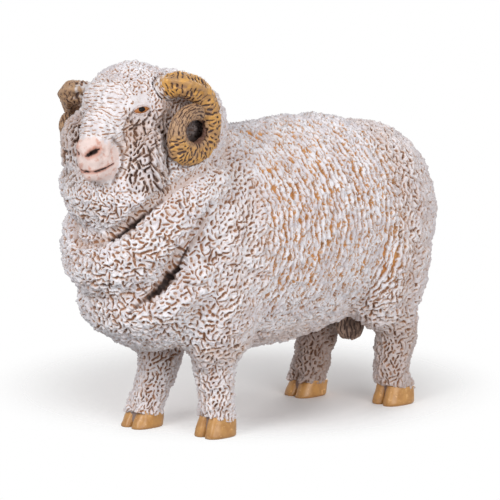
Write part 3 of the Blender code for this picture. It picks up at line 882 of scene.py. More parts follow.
def dress_wool(mesh, tree, eyes, hollow):
    """Press the wool into the fused skin, and give the values that its paint goes by."""
    places, normals = read_places(mesh), read_normals(mesh)
    head = seen_from(head_frame(), places)
    masks = wool_masks(places)
    ragged = ripple(places, "ragged")
    depth, crease, slit, shade_round_slits, worn, socket = (np.zeros(len(places)) for _ in range(6))
    for off, (deep, dark) in line_marks(places, tree, CREASES):
        off = np.maximum(off + CREASE_RAGGEDNESS * ragged, 0)
        depth += deep * MM * bump(off)
        crease = np.maximum(crease, dark * bump(off / CREASE_PAINT_SHARE))
    for off, _ in line_marks(places, tree, WORN_BANDS):
        worn = np.maximum(worn, edge("worn band", off + ragged))
    # The slits of nostrils and mouth are pressed in, and a reddish painted shade lies round them
    for off, (deep,) in line_marks(places, tree, SLITS):
        depth += deep * MM * bump(off)
        slit = np.maximum(slit, edge("slit", off))
        shade_round_slits = np.maximum(shade_round_slits, edge("shade_round_slits", off))
    bare = np.maximum(masks["muzzle"], worn)
    for eye, half in eyes.values():
        local = seen_from(eye, places) * PIXEL
        across, up = local[:, 0] / half, local[:, 1] / half
        near = np.abs(local[:, 2]) < 2 * half
        socket = np.maximum(socket, near * edge("eye socket", np.hypot(across, up / EYE_HEIGHT_SHARE)))
        up = up - EYE_BARE_RISE_SHARE
        round_eye = np.hypot(across / EYE_BARE_SHARES[0], up / EYE_BARE_SHARES[1])
        bare = np.maximum(bare, near * edge("bare round eye", round_eye + ragged))
    # Painted shade on the skin seen through the left horn's coil
    hole_middle = np.array(on_skin(tree, HORN_HOLE_PIXEL)[0])
    near = (np.linalg.norm(places - hole_middle, axis=1) < HORN_HOLE_REACH) * (head[:, 0] > 0)
    hole = near * edge("hole in wool", np.linalg.norm(hole_offset(head), axis=1))
    hoof, hoof_middle = hooved(places)
    bare = np.maximum(bare, hoof)
    curled = (1 - masks["wave"]) * (1 - masks["head"]) * (1 - masks["leg"])
    masks["lobes"] = curled * bump(ripple(places, "lobes") / LOBE_WIDTH)

    plan = {name: MM * by_region(masks, name) for name in ("length", "width", "gap")}
    plan["room"] = ROOM_SHARE * plan["length"]
    plan["bend"], plan["dark"] = by_region(masks, "bend"), by_region(masks, "dark")
    strokes = Strokes(places, normals, wool_way(masks, normals), plan)
    choice = np.nonzero((bare < STROKE_BARE) & (masks["valley"] < STROKE_VALLEY))[0]
    groove, lip, dark = strokes.press(strokes.scatter(choice, SEED), SEED + 1)
    kept = 1 - edge("unstroked", bare)
    groove, lip = np.maximum(groove, masks["valley"]) * kept, lip * kept

    rise = wool_relief(places, masks, lip, groove, bare) - depth - socket * SOCKET_DEPTH - hole * HOLE_DEPTH
    for side in SIDES:
        for (left, back, up), reach, high in MUZZLE_LUMPS:
            off = np.linalg.norm(head - np.array((side * left, back, up)), axis=1)
            rise = rise + high * MM * bump(off / reach)
    places = tucked(places + normals * rise[:, None], hoof, hoof_middle)
    write_places(mesh, places)

    masks.update({"worn": worn, "hole": hole, "hoof": hoof, "grimy shaded hollow": edge("grimy shaded hollow", hollow)})
    patchy = 0.5 + ripple(places, "patches")
    # The gap in the hooves and the deeper hollows get the creases' dark paint as painted shade
    creased = np.maximum(HOOF_GAP_SHADE * hoof, HOLLOW_CREASE * edge("creased hollow", hollow))
    return {
        "groove": groove,
        "dark": dark,
        "ochre": masks["flank"] * blend(OCHRE_LEAST, 1, patchy),
        # Grime and painted shade together; the brown painted shade follows
        "grime_and_shade": np.clip(sum(share * masks[name] for name, share in GRIME_AND_SHADE.items()), 0, 1),
        # Brown painted shade
        "shade": np.maximum.reduce([share * masks[name] for name, share in SHADES.items()]),
        "crease": np.maximum(crease, creased),
        "peach": masks["peach"],
        # Dark paint of the nostrils and the mouth, and painted shade in the horn's hole
        "slit": np.maximum(slit, HOLE_SHADE * hole),
        # Reddish painted shade round the nostrils and the mouth
        "shade_round_slits": shade_round_slits,
    }


# Mottles of the paints: size, where they start and are full, and what sets them apart
MOTTLE_DETAIL = 3.0
MOTTLES = {
    "wool tone": (5 * MM, 0.42, 0.62, 0.0),
    "wool dirt": (0.9 * MM, 0.5, 0.75, 3.0),
    "wool rough edge": (0.4 * MM, 0.3, 0.7, 7.0),
    "muzzle pink": (1.4 * MM, 0.48, 0.7, 0.0),
    "horn tone": (2.6 * MM, 0.4, 0.6, 0.0),
    "horn stains": (1.1 * MM, 0.54, 0.7, 9.0),
    "horn lights": (1.2 * MM, 0.56, 0.72, 2.0),
    "horn streaks": (0.7 * MM, 0.45, 0.68, 5.0),
    "horn rough edge": (0.3 * MM, 0.3, 0.7, 7.0),
    "iris": (0.4 * MM, 0.45, 0.65, 0.0),
    "lid": (0.7 * MM, 0.45, 0.65, 0.0),
    "hoof tone": (1.6 * MM, 0.42, 0.66, 0.0),
    "hoof lights": (0.8 * MM, 0.58, 0.74, 4.0),
    "scrotum tone": (1.5 * MM, 0.42, 0.62, 0.0),
}
# Fine bumps of the paints: size and height
BUMPS = {
    "wool": (0.35 * MM, 0.03 * MM),
    "horn": (0.5 * MM, 0.02 * MM),
    "eye": (0.3 * MM, 0.004 * MM),
    "lid": (0.35 * MM, 0.02 * MM),
    "hoof": (0.6 * MM, 0.02 * MM),
    "scrotum": (0.35 * MM, 0.03 * MM),
}
WHITE = (1, 1, 1, 1)


def linear(colour):
    """A colour as it is seen on a screen, from 0 to 255, as linear shares with full cover."""
    shares = (channel / 255 for channel in colour)
    return (*(s / 12.92 if s <= 0.04045 else ((s + 0.055) / 1.055) ** 2.4 for s in shares), 1)


def set_inputs(tree, node, inputs):
    """Set a node's inputs to values, or link them to the outputs of other nodes."""
    for name, value in inputs.items():
        if isinstance(value, bpy.types.NodeSocket):
            tree.links.new(value, node.inputs[name])
        else:
            node.inputs[name].default_value = value


def add_node(tree, kind, inputs, **settings):
    """A new shader node with its inputs and settings."""
    node = tree.nodes.new("ShaderNode" + kind)
    for name, value in settings.items():
        setattr(node, name, value)
    set_inputs(tree, node, inputs)
    return node


class Paint:
    """A material whose base colour is built up coat by coat."""

    def __init__(self, name, colour, roughness):
        self.material = bpy.data.materials.new(name)
        self.material.use_nodes = True
        self.tree = self.material.node_tree
        self.shader = self.tree.nodes["Principled BSDF"]
        self.coordinates = self.add("TexCoord", {}).outputs["Object"]
        self.colour = colour
        set_inputs(self.tree, self.shader, {"Roughness": roughness})

    def add(self, kind, inputs, **settings):
        """A new node of this paint."""
        return add_node(self.tree, kind, inputs, **settings)

    def noise(self, size, low, high, shift=0.0):
        """A noise with lumps of a size, stretched from 0 at low to 1 at high."""
        place = self.add("VectorMath", {0: self.coordinates, 1: (shift, shift, shift)}, operation="ADD")
        inputs = {"Scale": 1 / size, "Detail": MOTTLE_DETAIL, "Vector": place.outputs[0]}
        return self.mask(self.add("TexNoise", inputs).outputs["Fac"], (low, high))

    def mask(self, item, span=None, least=0.0, most=1.0):
        """A mottle, a kept value or another mask, from least to most over a span of it."""
        if item in MOTTLES:
            item = self.noise(*MOTTLES[item])
        elif isinstance(item, str):
            item = self.add("Attribute", {}, attribute_name=item).outputs["Fac"]
        if not span:
            return item
        inputs = {"Value": item, "From Min": span[0], "From Max": span[1], "To Min": least, "To Max": most}
        return self.add("MapRange", inputs, interpolation_type="SMOOTHSTEP").outputs["Result"]

    def joined(self, operation, one, two):
        """Two masks joined by an operation."""
        return self.add("Math", {0: self.mask(one), 1: self.mask(two)}, operation=operation).outputs[0]

    def mix(self, under, over, mask):
        """One colour over another by a mask."""
        under, over = (linear(item) if isinstance(item, tuple) else item for item in (under, over))
        return self.add("Mix", {0: self.mask(mask), 6: under, 7: over}, data_type="RGBA").outputs[2]

    def coat(self, colour, mask, span=None, most=1.0):
        """Paint a coat over what is there, up to its most over a span of a mask."""
        self.colour = self.mix(self.colour, colour, self.mask(mask, span, 0.0, most))

    def done(self, bump_name, shine):
        """Connect the colour and a fine bump, and return the material."""
        size, height = BUMPS[bump_name]
        inputs = {"Strength": 1.0, "Distance": height, "Height": self.noise(size, 0.0, 1.0)}
        normal = self.add("Bump", inputs).outputs[0]
        inputs = {"Base Color": self.colour, "Specular IOR Level": shine, "Normal": normal}
        set_inputs(self.tree, self.shader, inputs)
        return self.material


def wool_paint():
    """White over a brown wash that stays in the grooves, ochre on the flank and peach on the muzzle."""
    paint = Paint("wool_paint", (237, 235, 240), 0.62)
    paint.coat((224, 219, 224), "wool tone")
    paint.coat((218, 205, 200), "wool dirt")
    wash = paint.mix((156, 107, 72), (214, 150, 78), "ochre")
    # Dark strokes, partly painted shade low on the body, on the cheeks, temples and the far hind leg
    wash = paint.mix(wash, (60, 38, 34), "dark")
    groove = paint.joined("ADD", "groove", paint.mask("wool rough edge", (0, 1), -0.14, 0.14))
    # Grime and painted shade: tan on the worn bands, and darker under the body, on the cheeks, face and in
    # hollows
    paint.coat((196, 170, 156), "grime_and_shade", (0, 1), 0.6)
    paint.coat((200, 162, 134), groove, (0.04, 0.45), 0.68)
    paint.coat(wash, groove, (0.34, 0.76), 0.94)
    paint.coat((232, 209, 202), "peach", (0.1, 0.9), 0.92)
    paint.coat((210, 160, 144), paint.joined("MULTIPLY", paint.mask("peach", (0.6, 1)), "muzzle pink"))
    # Reddish painted shade round the nostrils and the mouth
    paint.coat((196, 138, 120), "shade_round_slits", (0, 1), 0.8)
    # Brown painted shade under the belly, on the inner side of the far hind leg, in the hooves and the horn's
    # hole
    paint.coat((118, 86, 66), "shade", (0, 1), 0.6)
    # Dark paint in the creases, partly painted shade, and painted shade in the hollows and in the gap in the
    # hooves
    paint.coat((120, 92, 80), "crease", (0.05, 0.6), 0.8)
    paint.coat((44, 32, 30), "crease", (0.4, 0.9), 0.95)
    # Dark paint of the nostrils and the mouth, and painted shade in the horn's hole
    paint.coat((46, 32, 30), "slit")
    return paint.done("wool", 0.35)


def horn_paint():
    """Yellow-ochre with dark brown dashes, and taupe on the inner coil. Taupe painted shade lies on the inner
    side and the far horn's start, and brown painted shade in the hole seen through the coil.
    """
    paint = Paint("horn_paint", (216, 162, 86), 0.5)
    paint.coat((180, 138, 92), "horn tone")
    paint.coat((156, 120, 92), "horn stains")
    paint.coat((232, 180, 104), "horn lights")
    # Taupe on the inner coil, and as painted shade on the inner side and on the far horn's start
    paint.coat((176, 143, 116), "taupe", (0.1, 0.9), 0.82)
    paint.coat((98, 74, 62), paint.joined("MULTIPLY", "taupe", "horn streaks"), (0, 1), 0.8)
    paint.coat((232, 226, 226), "root")
    groove = paint.joined("ADD", "groove", paint.mask("horn rough edge", (0, 1), -0.12, 0.12))
    paint.coat((150, 108, 76), groove, (0.04, 0.4), 0.5)
    paint.coat(paint.mix((58, 38, 36), (158, 112, 82), "root"), groove, (0.28, 0.6), 0.96)
    # Painted shade on the horn in the hole seen through its coil, brown and then dark
    paint.coat((132, 98, 86), "hole", (0.05, 0.5), 0.9)
    paint.coat((52, 36, 32), "hole", (0.5, 1), 0.95)
    return paint.done("horn", 0.4)


# The plainer paints: base colour, roughness, shine and coats
PLAIN_PAINTS = {
    "eye": ((164, 104, 60), 0.3, 0.15, (
        ((188, 126, 76), "iris"),
        ((92, 62, 44), "rim", (0.35, 1.0), 0.9),
        ((14, 12, 14), "pupil", (0.35, 0.65)),
    )),
    "lid": ((214, 200, 198), 0.6, 0.35, (
        ((176, 148, 138), "lid"),
    )),
    "hoof": ((192, 142, 82), 0.36, 0.5, (
        ((178, 128, 72), "hoof tone"),
        ((222, 174, 116), "hoof lights"),
        ((150, 104, 60), "low", (0.2, 1.0), 0.5),
    )),
    "scrotum": ((168, 140, 124), 0.6, 0.35, (
        ((118, 96, 84), "scrotum tone"),
        ((70, 52, 46), "groove", (0.2, 0.7), 0.9),
    )),
}


def plain_paint(name):
    """One of the plainer paints."""
    colour, roughness, shine, coats = PLAIN_PAINTS[name]
    paint = Paint(name + "_paint", colour, roughness)
    for coat in coats:
        paint.coat(*coat)
    return paint.done(name, shine)


def rings_round(path, out, across, radius, sides):
    """Rings of points round the points of a path."""
    turn = np.linspace(0, FULL_TURN, sides, endpoint=False)[None, :, None]
    rings = out[:, None, :] * np.cos(turn) + across[:, None, :] * np.sin(turn)
    return path[:, None, :] + rings * radius[:, :, None]


def tube_faces(rings, sides):
    """The faces of a tube of rings, with a fan at each end round one more point each."""
    ring, side = np.meshgrid(np.arange(rings - 1), np.arange(sides), indexing="ij")
    low, high, after = ring * sides, (ring + 1) * sides, (side + 1) % sides
    quads = np.stack((low + side, low + after, high + after, high + side), -1)
    turn = np.arange(sides)
    top, last = (rings - 1) * sides, rings * sides
    start = np.column_stack((np.full(sides, last), (turn + 1) % sides, turn))
    end = np.column_stack((np.full(sides, last + 1), top + turn, top + (turn + 1) % sides))
    return quads.reshape(-1, 4).tolist() + start.tolist() + end.tolist()


def tubes(parts):
    """The points and faces of some tubes, from their rings and the points in the middle of them."""
    places, faces = [], []
    for rings, middle in parts:
        first = len(places)
        places.extend(np.vstack((rings.reshape(-1, 3), middle[:1], middle[-1:])).tolist())
        faces.extend([first + corner for corner in face] for face in tube_faces(*rings.shape[:2]))
    return np.array(places), faces


# The horn's path as the casting has it: outwards, back, up from the middle of its coil, then radius
HORN_PATH = (
    (-50, 2, 8, 10),
    (-34, 2, 22, 11),
    (-14, 1, 34, 12),
    (4, 3, 39, 12.5),
    (7, 27, 25, 12.5),
    (10, 37, 1, 12),
    (12, 32, -22, 12),
    (13, 10, -30, 12.5),
    (14, -11, -23, 12.5),
    (15, -15, -3, 12),
    (15, -8, 9, 10.5),
    (14, 9, 12, 8),
    (12, 26, 4, 5.5),
)
HORN_STEPS = 34
HORN_SIDES = 104
# Its thickness from its inner to its outer side, at its start and further on, and how blunt its tip is
HORN_THICKNESS_SHARES = (1.06, 0.74)
HORN_BLUNTNESS = 30
# The keel on its outer face, as shares of the radius and of one radian, and the share of its height from
# which no dashes start on it
KEEL_HEIGHT_SHARE = 0.3
KEEL_WIDTH_SHARE = 0.3
KEEL_UNSTROKED = 0.25
# Its rings and relief, and how far along each horn the wool grows over its root, by side
RING_COUNT = 58
RING_HEIGHT = 0.07 * MM
HORN_LIP_HEIGHT = 0.08 * MM
DASH_DEPTH = 0.24 * MM
ROOT_END_SHARES = {1: 0.16, -1: 0.2}
ROOT_SOFTNESS = 0.02
# Its dashes: how far they turn, then length, width and gap on the outer and the inner coil
DASH_TURN = 0.6
DASHES = {"length": (1.5 * MM, 2.2 * MM), "width": (0.3 * MM, 0.15 * MM), "gap": (1.0 * MM, 0.7 * MM)}
DASH_ROOM = 1.05 * MM
DASH_BEND = 0.15
# How much of the taupe is on the hole's rim, and how dark the painted shade in the hole is at least
RIM_TAUPE = 0.8
HOLE_LEAST = 0.55


def smooth_path(rows, steps):
    """A smooth curve through the rows of a path, some steps from row to row."""
    rows = np.array(rows, float)
    ends = np.vstack((2 * rows[0] - rows[1], rows, 2 * rows[-1] - rows[-2]))
    share = np.linspace(0, 1, steps, endpoint=False)[:, None]
    curve = []
    for before, start, end, after in zip(ends, ends[1:], ends[2:], ends[3:]):
        squared = (2 * before - 5 * start + 4 * end - after) * share**2
        cubed = (3 * start - before - 3 * end + after) * share**3
        curve.append((2 * start + (end - before) * share + squared + cubed) / 2)
    return np.vstack((*curve, rows[-1]))


def horn_mesh(side, paint):
    """One horn: a ringed tube along its coil with a keel and dashes pressed into it."""
    curve = smooth_path(HORN_PATH, HORN_STEPS)
    path, share = curve[:, :3], np.linspace(0, 1, len(curve))
    radius = curve[:, 3] * np.clip((1 - share) * HORN_BLUNTNESS, 0, 1) ** 0.5
    ways = unit(np.gradient(path, axis=0))
    outward = np.empty_like(ways)
    before = np.array((1.0, 0.0, 0.0))
    for index in range(len(ways) - 1, -1, -1):
        before = before - (before @ ways[index]) * ways[index]
        before = before / np.linalg.norm(before)
        outward[index] = before
    turn = np.linspace(0, FULL_TURN, HORN_SIDES, endpoint=False)
    run = edge("keel start", share) * edge("keel end", share)
    keel = run[:, None] * bump(np.minimum(turn, FULL_TURN - turn) / KEEL_WIDTH_SHARE)[None, :]
    thick = blend(*HORN_THICKNESS_SHARES, edge("horn rounded", share))[:, None] * outward
    swollen = radius[:, None] * (1 + KEEL_HEIGHT_SHARE * keel)
    rings = rings_round(path, thick, np.cross(ways, outward), swollen, HORN_SIDES)
    places, faces = tubes([(rings, path)])
    places = moved(horn_frame(side), places * PIXEL)
    mesh = face_outwards(smooth_mesh("horn", places, faces, paint))
    normals = read_normals(mesh)

    along = np.repeat(ways, HORN_SIDES, axis=0) @ np.array(horn_frame(side))[:3, :3].T
    along = np.vstack((along, along[:1], along[-1:]))
    along_share = np.append(np.repeat(share, HORN_SIDES), (0, 1))
    outer = np.append(np.tile(np.cos(turn), len(curve)), (0, 0))
    on_keel = np.append(keel.ravel(), (0, 0))
    inner_coil = edge("inner coil", along_share)
    chance = np.random.default_rng(SEED + side)
    spread = chance.uniform(-DASH_TURN, DASH_TURN, len(places))[:, None]
    way = unit(unit(np.cross(normals, along)) * np.cos(spread) + along * np.sin(spread))
    way = np.where((inner_coil > 0.5)[:, None], flat_on(along, normals), way)
    offset = hole_offset(seen_from(head_frame(), places))
    from_hole = np.linalg.norm(offset, axis=1)
    # Painted shade where the hole is seen through the coil
    hole = edge("hole in horn", from_hole + ripple(places, "horn hole")) * (side > 0)
    plan = {name: blend(*pair, inner_coil) for name, pair in DASHES.items()}
    plan.update({"room": DASH_ROOM, "bend": DASH_BEND, "dark": 1})
    strokes = Strokes(places, normals, way, plan)
    choice = np.nonzero((on_keel < KEEL_UNSTROKED) & (hole < 0.5))[0]
    groove, lip, _ = strokes.press(strokes.scatter(choice, SEED + side), SEED + side)

    rings = np.cos(FULL_TURN * (along_share * RING_COUNT + ripple(places, "horn rings")))
    rise = HORN_LIP_HEIGHT * lip - DASH_DEPTH * groove + RING_HEIGHT * rings * (1 - inner_coil)
    rise = rise + ripple(places, "horn lumps") + ripple(places, "horn grain") - HOLE_DEPTH * hole
    write_places(mesh, places + normals * rise[:, None])
    rim = RIM_TAUPE * edge("hole rim", from_hole) * (side > 0)
    # The near horn's inner side and the far horn's start get taupe as painted shade
    shaded_part = edge("inner side", outer) if side > 0 else edge("far horn's start", along_share)
    end = ROOT_END_SHARES[side]
    rooted = along_share + ripple(places, "horn root")
    keep_value(mesh, "groove", groove)
    keep_value(mesh, "taupe", np.maximum.reduce([inner_coil, shaded_part, rim]))
    # The painted shade in the hole is darker towards its upper left
    keep_value(mesh, "hole", hole * blend(HOLE_LEAST, 1, edge("hole slant", offset.sum(axis=1))))
    keep_value(mesh, "root", step(end + ROOT_SOFTNESS, end - ROOT_SOFTNESS, rooted))
    return mesh


# The eye: its grid, as shares of its half length how far it domes and how deep it sits, and its pupil's
# place and size as shares of the half length along it and of the half height across it. The pupil is painted
# large, so that its black also stands for painted shade over part of the eye
EYE_GRID = (40, 20)
EYE_DOME_SHARE = 0.34
EYE_SUNK_SHARE = 0.12
PUPIL_PLACE_SHARES = (-0.05, 0.2)
PUPIL_SIZE_SHARES = (0.4, 0.69)
# Its outline: the powers that shape the almond
ALMOND_POWERS = (2.2, 0.8)
# The lids: their reach and their height as shares of the eye's, their rise and radius as shares of its half
# length, how much of that is left at the corners, and how much thicker the upper one is than the lower one
LID_REACH = 1.04
LID_HEIGHT_SHARE = 1.06
LID_RISE_SHARE = 0.1
LID_RADIUS_SHARE = 0.1
LID_CORNER_SHARE = 0.45
LID_SHARES = {1: 1.15, -1: 0.85}
LID_STEPS = 30
LID_SIDES = 10


def almond(share):
    """Half the height of an almond by the share of its half length, as a share of its greatest."""
    return np.clip(1 - np.abs(share) ** ALMOND_POWERS[0], 0, 1) ** ALMOND_POWERS[1]


def eye_mesh(eye, half, paint):
    """An almond-shaped, domed eye with closed edges."""
    along, across = (np.sin(np.linspace(-math.pi / 2, math.pi / 2, steps + 1)) for steps in EYE_GRID)
    s, t = np.meshgrid(along, across, indexing="ij")
    dome = EYE_DOME_SHARE * np.sqrt(np.clip(1 - s**2, 0, 1) * np.clip(1 - t**2, 0, 1))
    sheets = [
        np.stack((s, t * (EYE_HEIGHT_SHARE * almond(s)), way * dome - EYE_SUNK_SHARE), -1).reshape(-1, 3)
        for way in (1, -1)
    ]
    rows, columns = np.meshgrid(np.arange(EYE_GRID[0]), np.arange(EYE_GRID[1]), indexing="ij")
    width = EYE_GRID[1] + 1
    corner = rows * width + columns
    quads = np.stack((corner, corner + width, corner + width + 1, corner + 1), -1).reshape(-1, 4)
    faces = np.vstack((quads, quads[:, ::-1] + len(sheets[0])))
    mesh = smooth_mesh("eye", moved(eye, np.vstack(sheets) * half), faces.tolist(), paint)
    offset = (np.stack((s, t), -1) - PUPIL_PLACE_SHARES) / PUPIL_SIZE_SHARES
    keep_value(mesh, "pupil", np.tile(edge("pupil", np.linalg.norm(offset, axis=-1)).ravel(), 2))
    keep_value(mesh, "rim", np.tile(edge("eye rim", np.maximum(np.abs(s), np.abs(t))).ravel(), 2))
    return face_outwards(mesh, WELD)


def lid_mesh(eye, half, paint):
    """The two lids of an eye, as tubes that taper towards its corners."""
    share = np.linspace(-LID_REACH, LID_REACH, LID_STEPS)
    height = EYE_HEIGHT_SHARE * LID_HEIGHT_SHARE * almond(share)
    parts = []
    for sign, thickness in LID_SHARES.items():
        path = np.column_stack((share, sign * height, LID_RISE_SHARE * almond(share)))
        radius = LID_RADIUS_SHARE * blend(LID_CORNER_SHARE, 1, almond(share)) * thickness
        ways = unit(np.gradient(path, axis=0))
        across = unit(np.cross(ways, (0.0, 0.0, 1.0)))
        rings = rings_round(path, np.cross(across, ways), across, radius[:, None], LID_SIDES)
        parts.append((rings, path))
    places, faces = tubes(parts)
    return face_outwards(smooth_mesh("lids", moved(eye, places * half), faces, paint))


# One claw, in pixels: half width and half length at the ground, half the gap to the other claw, where its
# middle is and how skew it is; then its top's length and width as shares, how far it leans back, and how far
# it goes up under the wool
CLAW_HALF_WIDTH = 9.2
CLAW_HALF_LENGTH = 18.0
CLAW_GAP = 0.35
CLAW_MIDDLE_SHARE = 0.92
CLAW_SKEW = 1.2
CLAW_TOP_SHARE = 0.8
CLAW_TOP_WIDTH_SHARE = 0.9
CLAW_LEANS = {1: 4.6, -1: 6.5}
CLAW_OVER_EDGE = 3
# Its rounded lower edge: how far it is drawn in, and over what share of its height
CLAW_ROUND_SHARE = 0.06
CLAW_ROUND_HEIGHT_SHARE = 0.12
CLAW_RINGS = 18
CLAW_SIDES = 56
CLAW_SQUARENESS = 2.5
# The height in pixels under which the lumps fade
CLAW_FLAT_HEIGHT = 4


def hoof_mesh(place, number, paint):
    """A cloven hoof: two claws that lean back to their tops, with a rounded lower edge."""
    side = 1 if place[0] > 0 else -1
    turn = np.linspace(0, FULL_TURN, CLAW_SIDES, endpoint=False)
    rise = np.linspace(0, 1, CLAW_RINGS)[:, None]
    wide, long = (
        np.sign(way) * np.abs(way) ** (2 / CLAW_SQUARENESS) * half
        for way, half in ((np.cos(turn), CLAW_HALF_WIDTH), (np.sin(turn), CLAW_HALF_LENGTH))
    )
    long = long + CLAW_SKEW * np.cos(turn)
    foot = 1 - CLAW_ROUND_SHARE * (1 - np.minimum(rise / CLAW_ROUND_HEIGHT_SHARE, 1)) ** 2
    narrowed = (CLAW_HALF_WIDTH * CLAW_MIDDLE_SHARE + wide) * (foot * blend(1.0, CLAW_TOP_WIDTH_SHARE, rise))
    aside = np.maximum(CLAW_GAP + narrowed, CLAW_GAP)
    back = long * (foot * blend(1.0, CLAW_TOP_SHARE, rise)) + CLAW_LEANS[side] * rise
    up = rise * (hoof_edge(back, side) + CLAW_OVER_EDGE)
    claws = [np.stack((sign * aside, back, up), -1) for sign in (1, -1)]
    places, faces = tubes([(claw, claw.mean(axis=1)) for claw in claws])
    places[:, :2] += place
    places = places * PIXEL + np.array(FEET)
    mesh = face_outwards(smooth_mesh("hoof", places, faces, paint))
    lumps = ripple(places, "hoof lumps", number) * np.clip(places[:, 2] / PIXEL / CLAW_FLAT_HEIGHT, 0, 1)
    write_places(mesh, places + read_normals(mesh) * lumps[:, None])
    low = np.append(np.repeat(1 - rise, CLAW_SIDES), (1, 0))
    keep_value(mesh, "low", np.tile(low, 2) ** 3)
    return mesh


# The scrotum's wrinkles, pressed all over it, and their relief
WRINKLES = {"length": 2.6 * MM, "width": 0.25 * MM, "gap": 0.9 * MM, "room": 1.4 * MM, "bend": 0.5, "dark": 1}
WRINKLE_LIP_HEIGHT = 0.1 * MM
WRINKLE_DEPTH = 0.22 * MM


def scrotum_mesh(paint):
    """The wrinkled bag behind the belly."""
    mesh = fused(("scrotum",), SCROTUM_VOXEL, 0)
    places, normals = read_places(mesh), read_normals(mesh)
    strokes = Strokes(places, normals, flat_on((0.0, 0.0, -1.0), normals), WRINKLES)
    groove, lip, _ = strokes.press(strokes.scatter(np.arange(len(places)), SEED), SEED)
    rise = WRINKLE_LIP_HEIGHT * lip - WRINKLE_DEPTH * groove + ripple(places, "scrotum lumps")
    write_places(mesh, places + normals * rise[:, None])
    keep_value(mesh, "groove", groove)
    mesh.polygons.foreach_set("use_smooth", np.ones(len(mesh.polygons), bool))
    mesh.materials.clear()
    mesh.materials.append(paint)
    return mesh


def add_parts(eyes):
    """Horns, eyes with their lids, hooves under the wool's edge, and the scrotum."""
    paint = horn_paint()
    for side, name in SIDES.items():
        add_piece("horn_" + name + "_ringed", horn_mesh(side, paint), "horn_" + name)
    paint, skin_paint = plain_paint("eye"), plain_paint("lid")
    for side, (eye, half) in eyes.items():
        add_piece("eye_" + SIDES[side], eye_mesh(eye, half, paint))
        add_piece("eyelids_" + SIDES[side], lid_mesh(eye, half, skin_paint))
    paint = plain_paint("hoof")
    for number, (name, place) in enumerate(HOOF_PLACES.items()):
        add_piece("hoof_" + name, hoof_mesh(place, number, paint), name)
    add_piece("scrotum_wrinkled", scrotum_mesh(plain_paint("scrotum")), "scrotum")


# The floor: its reach, colour and roughness, and the round part of it that is seen, its middle and its radius
# from all to nothing
FLOOR_REACH = 3.0
FLOOR_COLOUR = (0.92, 0.91, 0.91, 1)
FLOOR_ROUGHNESS = 0.9
FLOOR_SEEN = (0.026, 0.06)
FLOOR_MIDDLE = (-0.022, 0.021, 0.0)
WORLD_LIGHT = 0.4
# Lamps: place, size, power, all towards the figure's middle
LAMPS = (
    ("key", (0.15, -0.66, 0.48), 0.4, 3.0),
    ("fill", (0.8, -0.15, 0.3), 0.6, 3.5),
    ("back", (-0.45, 0.65, 0.3), 0.6, 3.0),
)
AIM = Vector((0, 0, 40 * MM))


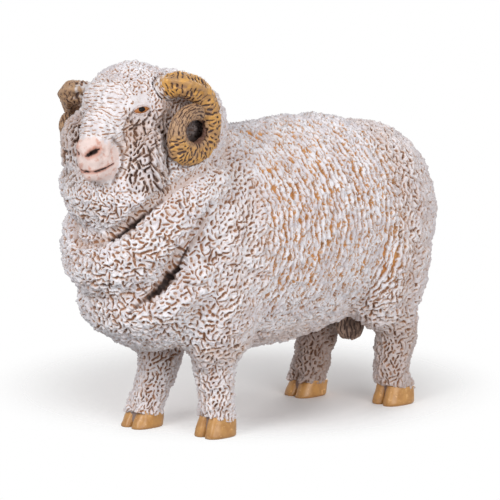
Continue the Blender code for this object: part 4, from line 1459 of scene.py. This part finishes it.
def add_floor():
    """A plain pale floor that keeps the shadow near the figure and gives way to the white beyond it."""
    mesh = bpy.data.meshes.new("floor")
    with opened(mesh) as made:
        bmesh.ops.create_grid(made, x_segments=2, y_segments=2, size=FLOOR_REACH)
    material = bpy.data.materials.new("floor_white")
    material.use_nodes = True
    tree = material.node_tree
    shader = tree.nodes["Principled BSDF"]
    inputs = {"Base Color": FLOOR_COLOUR, "Roughness": FLOOR_ROUGHNESS, "Specular IOR Level": 0.0}
    set_inputs(tree, shader, inputs)
    place = add_node(tree, "TexCoord", {}).outputs["Object"]
    offset = add_node(tree, "VectorMath", {0: place, 1: FLOOR_MIDDLE}, operation="SUBTRACT")
    length = add_node(tree, "VectorMath", {0: offset.outputs[0]}, operation="LENGTH")
    inputs = {"Value": length.outputs["Value"], "From Min": FLOOR_SEEN[0], "From Max": FLOOR_SEEN[1]}
    fade = add_node(tree, "MapRange", inputs, interpolation_type="SMOOTHSTEP")
    clear = add_node(tree, "BsdfTransparent", {})
    inputs = {0: fade.outputs["Result"], 1: shader.outputs[0], 2: clear.outputs[0]}
    mix = add_node(tree, "MixShader", inputs)
    set_inputs(tree, tree.nodes["Material Output"], {"Surface": mix.outputs[0]})
    mesh.materials.append(material)
    new_object("floor", mesh)


def add_world():
    """Even light for the figure, and plain white where the camera looks past it."""
    world = bpy.data.worlds.new("studio")
    bpy.context.scene.world = world
    world.use_nodes = True
    tree = world.node_tree
    even = tree.nodes["Background"]
    set_inputs(tree, even, {"Color": WHITE, "Strength": WORLD_LIGHT})
    white = add_node(tree, "Background", {"Color": WHITE, "Strength": 1.0})
    path = add_node(tree, "LightPath", {})
    seen = path.outputs["Is Camera Ray"]
    for name in ("Is Glossy Ray", "Is Transmission Ray"):
        seen = add_node(tree, "Math", {0: seen, 1: path.outputs[name]}, operation="MAXIMUM").outputs[0]
    mix = add_node(tree, "MixShader", {0: seen, 1: even.outputs[0], 2: white.outputs[0]})
    set_inputs(tree, tree.nodes["World Output"], {"Surface": mix.outputs[0]})


def add_lamps():
    """Soft studio lamps."""
    for name, place, size, power in LAMPS:
        lamp = bpy.data.lights.new(name, "AREA")
        lamp.shape = "DISK"
        lamp.size = size
        lamp.energy = power
        obj = new_object(name, lamp)
        obj.location = place
        obj.rotation_euler = (AIM - Vector(place)).to_track_quat("-Z", "Y").to_euler()


def add_camera():
    """The camera at the photograph's viewing angle, with a long lens."""
    camera = bpy.data.cameras.new("camera")
    camera.sensor_width = SENSOR
    camera.lens = SENSOR * CAMERA_DISTANCE / (PHOTO_SIDE * PIXEL)
    camera.clip_start, camera.clip_end = CAMERA_RANGE
    obj = new_object("camera", camera)
    obj.location = camera_point()
    obj.rotation_euler = Matrix((RIGHT, UP, TO_CAMERA)).transposed().to_euler()
    bpy.context.scene.camera = obj


def main():
    """Dress the figure, light it and look at it."""
    skin, tree, owners, hollow = fused_skin()
    eyes = eye_frames(tree)
    values = dress_wool(skin, tree, eyes, hollow)
    part_skin(skin, values, owners, wool_paint())
    add_parts(eyes)
    add_floor()
    add_world()
    add_lamps()
    add_camera()
    bpy.context.scene.view_settings.view_transform = "Standard"


main()
